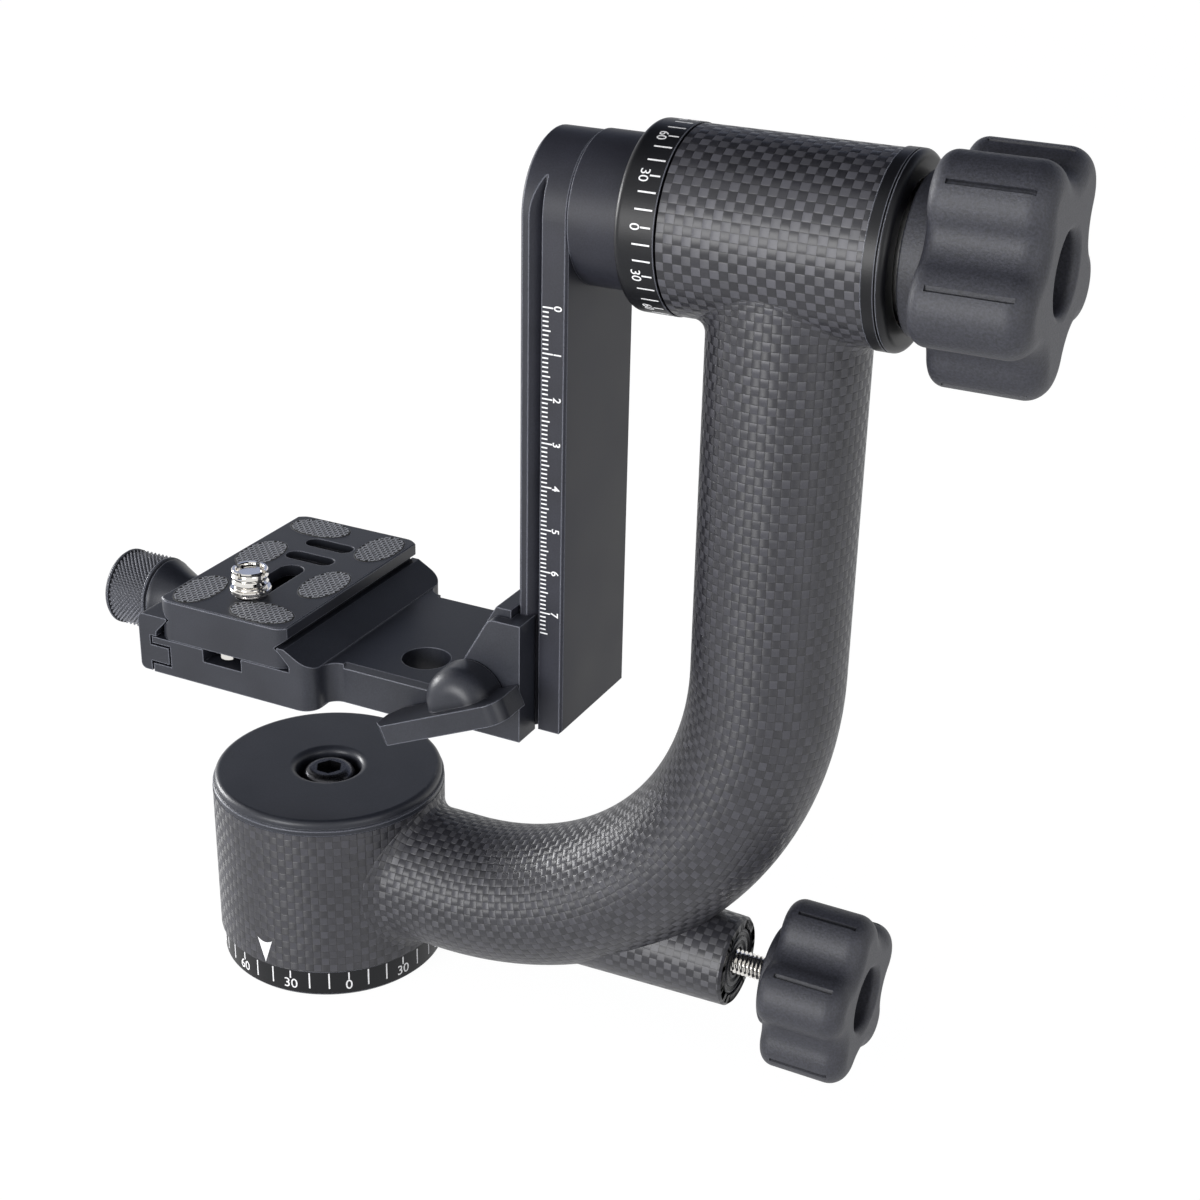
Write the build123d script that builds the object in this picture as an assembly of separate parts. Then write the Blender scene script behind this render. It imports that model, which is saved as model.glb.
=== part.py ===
from build123d import *

import math
import os

# Gimbal tripod head, millimetres. Z is the pan axis, the origin is the middle of the base's bottom
# face, the tilt axis runs along X at y = 0 and the camera platform hangs over the pan axis.

# ---- clearances and common fits -------------------------------------------------------------
RUNNING_GAP = 0.05          # radial gap of a shaft or pin that turns or slides in its hole
FIT_GAP = 0.02              # radial gap of bonded or pressed round parts
SLIDE_GAP = 0.3             # gap between flat faces that slide past each other
SEAM_GAP = 0.5              # visible seam between a fixed and a turning casing
EDGE = 0.6                  # broken edge of machined parts

# ---- ball bearings --------------------------------------------------------------------------
BALL_SHARE = 0.28           # ball radius as a share of the rings' radial space
RACE_SHOULDER = 0.45        # ring edge from the balls' circle, in ball radii
BALL_PITCH = 2.5            # spacing of the balls, in ball radii

# ---- pan base -------------------------------------------------------------------------------
DIAL_INSET = 0.8            # dial inside the carbon sleeve
DIAL_HEIGHT = 7.3
DIAL_WIDTH = 4.0            # radial width of the dial ring
BASE_RADIUS = 29.5          # outside of the carbon sleeve
BASE_SLEEVE_TOP = 47.5
SLEEVE_WALL = 2.0
CAP_INSET = 0.1             # cap inside the carbon sleeve
CAP_RIM_HEIGHT = 1.5
CAP_STEP = 0.5              # how far the cap's crown stands inside its rim
CAP_CROWN_HEIGHT = 2.2
CAP_CROWN_ROUND = 1.4
CAP_PLUG_DEPTH = 3.0
CAP_WELL_RADIUS = 10.0
CAP_WELL_LIP = 1.8          # rounding of the well's mouth
SPINDLE_RADIUS = 10.0
SPINDLE_FLANGE_RADIUS = 17.0
SPINDLE_FLANGE_HEIGHT = 3.0
SPINDLE_SHOULDER_RADIUS = 11.0
SPINDLE_SHOULDER_HEIGHT = 0.7
SPINDLE_SCREWS = 3
SPINDLE_SCREW_INSET = 3.1   # screws inside the flange
SPINDLE_SCREW_RADIUS = 1.5
SPINDLE_SCREW_SINK = 1.3    # depth of the sunk heads
SPINDLE_SCREW_LENGTH = 8.5
TRIPOD_THREAD_RADIUS = 4.05
TRIPOD_THREAD_DEPTH = 13.0
DRUM_RADIUS = 18.5
DRUM_HEIGHT = 9.0
DRUM_HUB_RADIUS = 11.3
DRUM_ROOM = 2.0             # radial room round the drum
DRUM_CAVITY_Z = 23.5
PAN_BEARING_RADIUS = 16.0   # outside of the pan bearings
PAN_BEARING_WIDTH = 6.0
BEARING_LIP_RADIUS = 14.5   # lip that the outer rings rest on
CARRIER_Z = 34.5            # bottom of the upper bearing's carrier
UPPER_BEARING_Z = 36.5
CENTRE_SCREW_RADIUS = 3.0
CENTRE_SCREW_LENGTH = 16.0
CENTRE_HEAD_RADIUS = 6.7
CENTRE_HEAD_HEIGHT = 6.4
CENTRE_HEAD_ROUND = 2.4     # domed top of the head
CENTRE_HEXAGON = 6.0
CENTRE_WASHER_RADIUS = 11.4
CENTRE_WASHER_HEIGHT = 1.5

# ---- carbon arm -----------------------------------------------------------------------------
TUBE_RADIUS = 17.3
TUBE_WALL = 2.5
TUBE_INSET = 21.8           # near end of the tilt sleeve to the tube's upright leg
TUBE_Z = 27.8               # lower leg of the tube
BEND_START = 9.2            # straight tube between the base and the bend
TUBE_FILLET = 2.6           # where the tube meets a sleeve
GUIDE_LENGTH = 8.0          # plug in the tube that guides the push rod
GUIDE_START = 0.7           # plug's start outside the base

# ---- pan lock -------------------------------------------------------------------------------
LOCK_Z = 29.0               # axis of the pan lock
LOCK_ROD_ROOM = 0.6       # room round the push rod in the boss
LOCK_ROD_RADIUS = 4.0
SHOE_RADIUS = 6.5
SHOE_GAP = 0.8              # brake shoe to drum with the lock slack
SHOE_INSET = 4.5            # end of the shoe inside the carbon sleeve's outside
BOSS_RADIUS = 10.8          # pan lock boss, at its end face
BOSS_TAPER = 1.4            # how much wider the boss is at its root
BOSS_LENGTH = 53.0
BOSS_INSET = 3.2            # boss's end from the tube's upright leg
INSERT_RADIUS = 8.2
INSERT_LENGTH = 10.0
INSERT_RECESS = 0.8
STUD_RADIUS = 3.0
STUD_DEPTH = 14.7           # stud inside the boss

# ---- tilt axis ------------------------------------------------------------------------------
TILT_Z = 205.0
ARM_FACE_X = 63.9           # face of the swing arm's dovetail rail
ARM_THICKNESS = 11.1
ARM_WIDTH = 31.7
ARM_BOTTOM_Z = 87.2
RAIL_EDGE = 2.1             # flat edge of the dovetail rail
RAIL_GROOVE_DEPTH = 2.6
RAIL_GROOVE_END = 5.2       # groove wall, from the rail's face
HUB_PROUD = 0.45            # hub outside the arm's width
HUB_LENGTH = 11.8
HUB_SCREWS = 4
HUB_SCREW_INSET = 5.3       # screws inside the hub
HUB_SCREW_RADIUS = 1.9
HUB_SCREW_HEAD_RADIUS = 3.4
HUB_SCREW_SINK = 4.0        # head's seat below the rail's face
HUB_SCREW_LENGTH = 12.0
TILT_DIAL_PROUD = 0.2       # dial outside the tilt sleeve
TILT_DIAL_LENGTH = 9.1
TILT_DIAL_ROUND = 1.6
TILT_SLEEVE_RADIUS = 19.65
TILT_SLEEVE_LENGTH = 42.8
TILT_SHAFT_RADIUS = 7.5
SHAFT_SEAT = 8.0            # how deep the tilt shaft sits in the hub
SHAFT_PROUD = 5.0           # full shaft beyond the sleeve
SPACER_WALL = 1.8
TILT_BEARING_RADIUS = 13.0
TILT_BEARING_WIDTH = 7.0
TILT_BEARING_INSET = 1.0
LINER_LIP = 2.0
COLLAR_PROUD = 0.35         # collar outside the tilt sleeve
COLLAR_LENGTH = 4.6
COLLAR_BAND = 2.6           # straight band of the collar
COLLAR_GROOVE = 0.4
COLLAR_ROUND = 1.6
COLLAR_RECESS_RADIUS = 15.0
COLLAR_FLOOR = 1.2
COLLAR_ROOM = 2.0           # radial room round the shaft
FRICTION_DISC_HEIGHT = 1.2
THRUST_WASHER_RADIUS = 13.5
THRUST_WASHER_GAP = 0.6     # washer to friction disc with the lock slack
THRUST_WASHER_HEIGHT = 2.4
TILT_THREAD_RADIUS = 4.0
TILT_THREAD_LENGTH = 10.5

# ---- lobed knobs ----------------------------------------------------------------------------
KNOB_LOBES = 5
KNOB_BACK_ROUND = 3.2
KNOB_FRONT_ROUND = 5.4
KNOB_EYE_DEPTH = 9.0
KNOB_EYE_ROUND = 2.5        # foot of the eye
KNOB_EYE_LIP = 1.8          # mouth of the eye
KNOB_LINE_WIDTH = 1.0
KNOB_LINE_DEPTH = 0.6
KNOB_LINE_MARGIN = 3.4      # knob end to the end of a line
KNOB_LINE_TURNS = (-9.0, -17.0, 0.0, 12.0, 15.0)    # line from its lobe's crown, degrees
KNOB_CORE_RADIUS = 9.0      # metal core moulded into each knob
KNOB_CORE_DEPTH = 9.5
KNOB_SKIRT_ROOT = 1.0       # how deep a skirt runs into its knob
TILT_KNOB_RADIUS = 25.4
TILT_KNOB_VALLEY = 18.9
TILT_KNOB_CROWN = 9.0       # radius of each lobe's crown
TILT_KNOB_LENGTH = 23.9
TILT_KNOB_TURN = 57.5       # turn of the first lobe from -Y towards +Z, degrees
TILT_KNOB_EYE = 8.0         # radius of the blind eye in the end
TILT_CORE_PROUD = 4.9       # core in front of the knob
TILT_SKIRT_RADIUS = 16.4    # round skirt of the knob that covers the collar's recess
TILT_SKIRT_LENGTH = 4.5
PAN_KNOB_RADIUS = 20.7
PAN_KNOB_VALLEY = 15.8
PAN_KNOB_CROWN = 7.6
PAN_KNOB_LENGTH = 20.8
PAN_KNOB_TURN = 92.0
PAN_KNOB_EYE = 7.4
PAN_KNOB_GAP = 11.7         # boss to knob
PAN_CORE_PROUD = 2.5
PAN_SKIRT_RADIUS = 12.2
PAN_SKIRT_LENGTH = 2.1

# ---- camera platform ------------------------------------------------------------------------
PLATFORM_X = -8.4           # middle of the quick release clamp
PLATE_LENGTH = 60.0
PLATE_WIDTH = 38.0          # across the dovetail's lower edges
PLATE_TOP_WIDTH = 36.0
PLATE_HEIGHT = 10.4
PLATE_CORNER = 4.5
PLATE_FOOT = 1.2            # straight lower edge of the dovetail
DOVETAIL_DEPTH = 3.8
DOVETAIL_WAIST = 5.2        # height of the dovetail's waist
PLATE_LIP = 7.4             # height where the upper lip starts
PLATE_GAP = 0.2             # plate to the clamp
CLAMP_BOTTOM_Z = 84.0
CLAMP_SEAT_Z = 93.4
CLAMP_RIGHT = 25.3          # platform middle to the outside of the fixed jaw
CLAMP_LEFT = 20.5           # platform middle to the left end of the clamp body
CLAMP_CORNER_SHARE = 0.5    # radius of the clamp's corners, in shoulders beside the neck
JAW_TOP_Z = 99.0
JAW_REACH = 15.95           # platform middle to the tip of a jaw
JAW_NOSE = 1.9              # flat on top of each jaw
FIXED_JAW_DROP = 4.2        # outer edge of the fixed jaw below its top
CHANNEL_WIDTH = 11.0        # channel under the plate
CHANNEL_DEPTH = 3.2
NECK_SIDE = 6.15            # neck outside the arm's width
NECK_BOTTOM_Z = 84.5
NECK_TOP_Z = 94.6
NECK_FILLET_SHARE = 0.475   # radius of the neck's roots, in shoulders
NECK_BEVEL = 1.2
NECK_HOLE_RADIUS = 5.8
NECK_HOLE_GAP = 27.9        # hole to the rail's face
NECK_HOLE_Y = -10.0
HEAD_FOOT = 16.9            # foot of the slanted head to the rail's face
HEAD_TOP = 4.1              # top of the slanted head to the rail's face
HEAD_TOP_Z = 117.0
HEAD_SIDE = 2.85            # head outside the arm's width, lever side
GRIP_REACH = 3.7            # how far the grips reach past the rail's face
RAIL_GAP = 0.15             # grips to rail when clamped
ARM_JAW_THICKNESS = 2.8
ARM_JAW_GAP = 0.5           # jaw to head, closed
ARM_JAW_FOOT = 15.9         # jaw's foot to the rail's face
ARM_JAW_TOP_Z = 115.2
ARM_JAW_BOTTOM_Z = 86.2
ARM_JAW_CORNER = 2.0
ARM_JAW_PINS = ((12.4, 90.0), (4.4, 109.0))     # distance to the rail's face and z of the pins
JAW_PIN_RADIUS = 1.25
JAW_PIN_DEPTH = 6.0
LEVER_GAP_X = 8.4           # lever's axis to the rail's face
LEVER_Z = 95.8
LEVER_GAP = 0.4             # lever to jaw
LEVER_DOME_RADIUS = 8.5
LEVER_DOME_HEIGHT = 9.2
LEVER_DOME_ROUND = 5.0
LEVER_TURN = 24.0           # slope of the handle, degrees
LEVER_LONG = 22.0
LEVER_SHORT = 13.6
LEVER_THICKNESS = 4.9
LEVER_START = 1.0           # back of the handle from the back of the dome
LEVER_END = 11.6            # front of the handle from the back of the dome
LEVER_DROP = 2.2            # handle's middle below the pivot
LEVER_BEVEL = 3.0
LEVER_CORNER = 4.0          # near corner of the handle's short end
LEVER_SCREW_RADIUS = 3.0
LEVER_SCREW_DEPTH = 14.0    # screw into the head
RAIL_STOP_LOW_Z = 91.5
RAIL_STOP_HIGH_Z = 190.4
RAIL_STOP_RADIUS = 1.5
RAIL_STOP_HEAD_RADIUS = 2.4
RAIL_STOP_HEAD_HEIGHT = 1.2
RAIL_STOP_LENGTH = 6.0

# ---- quick release jaw and knob -------------------------------------------------------------
QR_JAW_THICKNESS = 3.2
QR_JAW_BOTTOM_Z = 84.2
QR_JAW_ROUND = 1.5
QR_SEAM = 0.6               # seam between the moving jaw and the clamp
TONGUE_LENGTH = 5.3
TONGUE_HEIGHT = 4.3
TONGUE_Z = 89.0
QR_SCREW_Z = 88.0
QR_SCREW_RADIUS = 2.5
QR_SCREW_LENGTH = 16.0      # screw beyond the knob's neck
QR_KNOB_RADIUS = 9.8
QR_KNOB_LENGTH = 13.8
QR_KNOB_EDGE = 1.4
QR_KNOB_SHOULDER = 6.2
QR_KNOB_NECK_RADIUS = 6.6
QR_KNOB_NECK = 8.0
GUIDE_PIN_RADIUS = 1.5
GUIDE_PIN_END = 10.0        # clamp's end to a guide pin
GUIDE_PIN_LENGTH = 13.0
GUIDE_PIN_INSET = 1.5       # pin's end inside the jaw's outer face

# ---- plate furniture and camera screw -------------------------------------------------------
PAD_LONG = 8.6
PAD_SHORT = 5.2
PAD_RECESS = 0.5
PAD_PROUD = 0.15
PAD_SIDE_X = 12.2
PAD_SIDE_FAR_INSET = 9.4    # plate's end to the far side pad
PAD_SIDE_NEAR_Y = 4.1
PAD_END_X = 8.2
PAD_END_INSET = 5.6
SLOT_LONG = 13.6
SLOT_WIDE = 5.0
SLOT_INSET = 13.6           # plate's end to the far cross slot
SLOT_SPACING = 8.8
SLOT_DEPTH = 2.2
SLOT_LEDGE = 1.0            # ledge round the lower part of each cross slot
SCREW_SLOT_WIDTH = 6.6
SCREW_SLOT_INSET = 8.8      # plate's near end to the slot
SCREW_SLOT_END_Y = 2.4
SCREW_WEB = 3.0             # plate metal above the camera screw's pocket
POCKET_WIDTH = 12.6
POCKET_INSET = 6.4          # plate's near end to the pocket of the screw's head
POCKET_END_Y = 6.0
RETAINER_LENGTH = 9.0
RETAINER_HEIGHT = 1.6
CAMERA_SCREW_INSET = 12.8   # plate's near end to the screw
CAMERA_SCREW_RADIUS = 3.15
CAMERA_SCREW_TOP = 6.2      # end of the camera screw above the plate
CAMERA_HEAD_RADIUS = 5.6
CAMERA_HEAD_HEIGHT = 2.4
ADAPTER_ROOT_RADIUS = 4.1
ADAPTER_COLLAR_RADIUS = 5.0
ADAPTER_COLLAR_START = 1.2  # above the plate
ADAPTER_COLLAR_END = 2.3
ADAPTER_RADIUS = 4.7
ADAPTER_TOP = 7.0
ADAPTER_SLOT_WIDTH = 1.2
ADAPTER_SLOT_DEPTH = 1.8
PLATE_STOP_RADIUS = 1.25
PLATE_STOP_HEAD_RADIUS = 2.6
PLATE_STOP_HEAD_HEIGHT = 2.0
PLATE_STOP_LENGTH = 5.0
PLATE_STOP_INSET = 3.4
STOP_PIN_RADIUS = 1.5
STOP_PIN_DEPTH = 4.0

# ---- places worked out from the sizes -------------------------------------------------------
ALIGN_UP = (Align.CENTER, Align.CENTER, Align.MIN)
DIAL_RADIUS = BASE_RADIUS - DIAL_INSET
BASE_BORE = BASE_RADIUS - SLEEVE_WALL
CAP_RADIUS = BASE_RADIUS - CAP_INSET
BASE_BOTTOM_Z = DIAL_HEIGHT + SEAM_GAP
FLANGE_TOP_Z = DIAL_HEIGHT + SPINDLE_FLANGE_HEIGHT
LOWER_BEARING_Z = FLANGE_TOP_Z + SPINDLE_SHOULDER_HEIGHT
SPINDLE_TOP_Z = UPPER_BEARING_Z + PAN_BEARING_WIDTH
CAP_PLUG_Z = BASE_SLEEVE_TOP - CAP_PLUG_DEPTH
CAP_TOP_Z = BASE_SLEEVE_TOP + CAP_RIM_HEIGHT + CAP_CROWN_HEIGHT
SHOE_END_X = BASE_RADIUS - SHOE_INSET
HUB_RADIUS = ARM_WIDTH / 2 + HUB_PROUD
TILT_DIAL_RADIUS = TILT_SLEEVE_RADIUS + TILT_DIAL_PROUD
COLLAR_RADIUS = TILT_SLEEVE_RADIUS + COLLAR_PROUD
ARM_BACK_X = ARM_FACE_X + ARM_THICKNESS
DIAL_X = ARM_BACK_X + HUB_LENGTH
TILT_SLEEVE_X = DIAL_X + TILT_DIAL_LENGTH + SEAM_GAP
TILT_SLEEVE_END_X = TILT_SLEEVE_X + TILT_SLEEVE_LENGTH
TUBE_X = TILT_SLEEVE_X + TUBE_INSET
BEND_X = BASE_RADIUS + BEND_START
BEND_RADIUS = TUBE_X - BEND_X
BEND_Z = TUBE_Z + BEND_RADIUS
BOSS_END_X = TUBE_X - BOSS_INSET
BOSS_START_X = BOSS_END_X - BOSS_LENGTH
INSERT_X = BOSS_END_X - INSERT_RECESS - INSERT_LENGTH
STUD_START_X = BOSS_END_X - STUD_DEPTH
PAN_KNOB_X = BOSS_END_X + PAN_KNOB_GAP
TILT_BEARING_XS = (
    TILT_SLEEVE_X + TILT_BEARING_INSET,
    TILT_SLEEVE_END_X - TILT_BEARING_INSET - TILT_BEARING_WIDTH,
)
FRICTION_X = TILT_SLEEVE_END_X + COLLAR_FLOOR
WASHER_X = FRICTION_X + FRICTION_DISC_HEIGHT + THRUST_WASHER_GAP
TILT_CORE_X = WASHER_X + THRUST_WASHER_HEIGHT
TILT_KNOB_X = TILT_CORE_X + TILT_CORE_PROUD
SHAFT_END_X = TILT_SLEEVE_END_X + SHAFT_PROUD
THREAD_END_X = SHAFT_END_X + TILT_THREAD_LENGTH
PLATE_Z = CLAMP_SEAT_Z + PLATE_GAP
PLATE_TOP_Z = PLATE_Z + PLATE_HEIGHT
HEAD_START_X = ARM_FACE_X - HEAD_FOOT
HEAD_TOP_START_X = ARM_FACE_X - HEAD_TOP
HEAD_SLOPE = (HEAD_TOP_START_X - HEAD_START_X) / (HEAD_TOP_Z - NECK_TOP_Z)
NECK_HALF_WIDTH = ARM_WIDTH / 2 + NECK_SIDE
SHOULDER = PLATE_LENGTH / 2 - NECK_HALF_WIDTH
NECK_FILLET = NECK_FILLET_SHARE * SHOULDER
HEAD_NEAR_Y = -ARM_WIDTH / 2 - HEAD_SIDE
NECK_HOLE_X = ARM_FACE_X - NECK_HOLE_GAP
ARM_JAW_START_X = ARM_FACE_X - ARM_JAW_FOOT
ARM_JAW_Y = HEAD_NEAR_Y - ARM_JAW_GAP
LEVER_X = ARM_FACE_X - LEVER_GAP_X
LEVER_Y = ARM_JAW_Y - ARM_JAW_THICKNESS - LEVER_GAP
QR_JAW_X = PLATFORM_X - CLAMP_LEFT - QR_SEAM
QR_NECK_X = QR_JAW_X - QR_JAW_THICKNESS - SLIDE_GAP
GUIDE_PIN_Y = PLATE_LENGTH / 2 - GUIDE_PIN_END
SLOT_FAR_Y = PLATE_LENGTH / 2 - SLOT_INSET
CAMERA_SCREW_Y = CAMERA_SCREW_INSET - PLATE_LENGTH / 2

# ---- shape helpers --------------------------------------------------------------------------


def rod_x(radius, low, high, y=0.0, z=0.0):
    """Round bar along X."""
    return Pos(low, y, z) * Rot(0, 90, 0) * Cylinder(radius, high - low, align=ALIGN_UP)


def rod_y(radius, low, high, x=0.0, z=0.0):
    """Round bar along Y."""
    return Pos(x, low, z) * Rot(-90, 0, 0) * Cylinder(radius, high - low, align=ALIGN_UP)


def rod_z(radius, low, high, x=0.0, y=0.0):
    """Round bar along Z."""
    return Pos(x, y, low) * Cylinder(radius, high - low, align=ALIGN_UP)


def cone_x(low_radius, high_radius, low, high, z=0.0):
    """Cone along X."""
    return Pos(low, 0, z) * Rot(0, 90, 0) * Cone(low_radius, high_radius, high - low, align=ALIGN_UP)


def slot_z(length, width, low, high, x, y, turn=0.0):
    """Round-ended slot cutter along Z."""
    return Pos(x, y, low) * extrude(SlotOverall(length, width, rotation=turn), amount=high - low)


def block(x_span, y_span, z_span):
    """Box between the low and high ends of three spans."""
    sizes = [span[1] - span[0] for span in (x_span, y_span, z_span)]
    corner = (Align.MIN, Align.MIN, Align.MIN)
    return Pos(x_span[0], y_span[0], z_span[0]) * Box(*sizes, align=corner)


def prism_x(outline, low, high):
    """Straight solid along X from a (y, z) outline."""
    face = make_face(Polyline(*[(low, y, z) for y, z in outline], close=True))
    return extrude(face, amount=high - low, dir=(1, 0, 0))


def prism_y(outline, low, high):
    """Straight solid along Y from an (x, z) outline."""
    face = make_face(Polyline(*[(x, low, z) for x, z in outline], close=True))
    return extrude(face, amount=high - low, dir=(0, 1, 0))


def prism_z(outline, low, high):
    """Straight solid along Z from an (x, y) outline."""
    face = make_face(Polyline(*[(x, y, low) for x, y in outline], close=True))
    return extrude(face, amount=high - low, dir=(0, 0, 1))


def turned(outline):
    """Solid of revolution about Z from a (radius, z) outline."""
    face = make_face(Polyline(*[(radius, 0, z) for radius, z in outline], close=True))
    return revolve(face, axis=Axis.Z)


def hexagon_z(across_flats, low, high):
    """Hexagonal bar along Z."""
    face = RegularPolygon(across_flats / 2, 6, major_radius=False)
    return Pos(0, 0, low) * extrude(face, amount=high - low)


def socket_screw(radius, length, head_radius, head_height, hexagon, dome=EDGE / 2):
    """Socket head screw that points down, with its head's seat at z = 0 and its top edge rounded."""
    body = rod_z(radius, -length, 0) + rod_z(head_radius, 0, head_height)
    body = fillet(body.edges().sort_by(Axis.Z)[-1], dome)
    return body - hexagon_z(hexagon, head_height / 2, head_height + 1)


def bearing(bore, outside, width):
    """Ball bearing from z = 0 up: inner ring, outer ring and balls."""
    middle = (bore + outside) / 2
    ball = (outside - bore) * BALL_SHARE
    shoulder = ball * RACE_SHOULDER
    race = Pos(0, 0, width / 2) * Torus(middle, ball + RUNNING_GAP)
    inner = rod_z(middle - shoulder, 0, width) - rod_z(bore + FIT_GAP, -1, width + 1) - race
    outer = rod_z(outside - FIT_GAP, 0, width) - rod_z(middle + shoulder, -1, width + 1) - race
    count = int(2 * math.pi * middle / (BALL_PITCH * ball))
    balls = [
        Pos(0, 0, width / 2) * Rot(0, 0, 360 * turn / count) * Pos(middle, 0, 0) * Sphere(ball)
        for turn in range(count)
    ]
    return inner, outer, balls


def lobed_knob(radius, valley, crown, length, turn, eye):
    """Lobed knob along X from x = 0, with a blind eye in its far end and a line on each lobe."""
    half_pitch = math.pi / KNOB_LOBES
    crown_centre = radius - crown
    root = crown_centre * math.cos(half_pitch)
    rise = crown - valley
    valley_centre = (crown_centre ** 2 - rise ** 2) / (2 * (rise + root))
    hollow = valley_centre - valley

    def polar(distance, angle):
        return Vector(0, -distance * math.cos(angle), distance * math.sin(angle))

    edges = []
    for lobe in range(KNOB_LOBES):
        angle = math.radians(turn) + 2 * half_pitch * lobe
        middle = polar(crown_centre, angle)
        before = polar(valley_centre, angle - half_pitch)
        after = polar(valley_centre, angle + half_pitch)
        following = polar(crown_centre, angle + 2 * half_pitch)
        start = middle + (before - middle).normalized() * crown
        end = middle + (after - middle).normalized() * crown
        next_start = following + (after - following).normalized() * crown
        edges.append(ThreePointArc(start, polar(radius, angle), end))
        edges.append(ThreePointArc(end, polar(valley, angle + half_pitch), next_start))
    knob = extrude(make_face(edges), amount=length, dir=(1, 0, 0))
    most = 0.8 * min(hollow, crown)
    knob = fillet(knob.faces().sort_by(Axis.X)[0].edges(), min(KNOB_BACK_ROUND, most))
    knob = fillet(knob.faces().sort_by(Axis.X)[-1].edges(), min(KNOB_FRONT_ROUND, most))
    well = rod_x(eye, length - KNOB_EYE_DEPTH, length + 1)
    knob -= fillet(well.edges().sort_by(Axis.X)[0], KNOB_EYE_ROUND)
    mouth = knob.faces().sort_by(Axis.X)[-1].inner_wires()[0]
    knob = fillet(mouth.edges(), KNOB_EYE_LIP)
    for lobe, offset in enumerate(KNOB_LINE_TURNS):
        angle = math.radians(turn + offset) + 2 * half_pitch * lobe
        drop = radius - crown_centre * math.cos(math.radians(offset)) - math.sqrt(
            crown ** 2 - (crown_centre * math.sin(math.radians(offset))) ** 2
        )
        depth = radius - drop - KNOB_LINE_DEPTH
        line = block(
            (KNOB_LINE_MARGIN, length - KNOB_LINE_MARGIN),
            (-KNOB_LINE_WIDTH / 2, KNOB_LINE_WIDTH / 2),
            (depth, radius + 1),
        )
        knob -= Rot(90 - math.degrees(angle), 0, 0) * line
    return knob


def skirt(radius, length):
    """Round skirt in front of a knob that starts at x = 0."""
    ring = rod_x(radius, -length, KNOB_SKIRT_ROOT)
    return fillet(ring.edges().sort_by(Axis.X)[0], EDGE)


# ---- pan base -------------------------------------------------------------------------------


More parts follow.
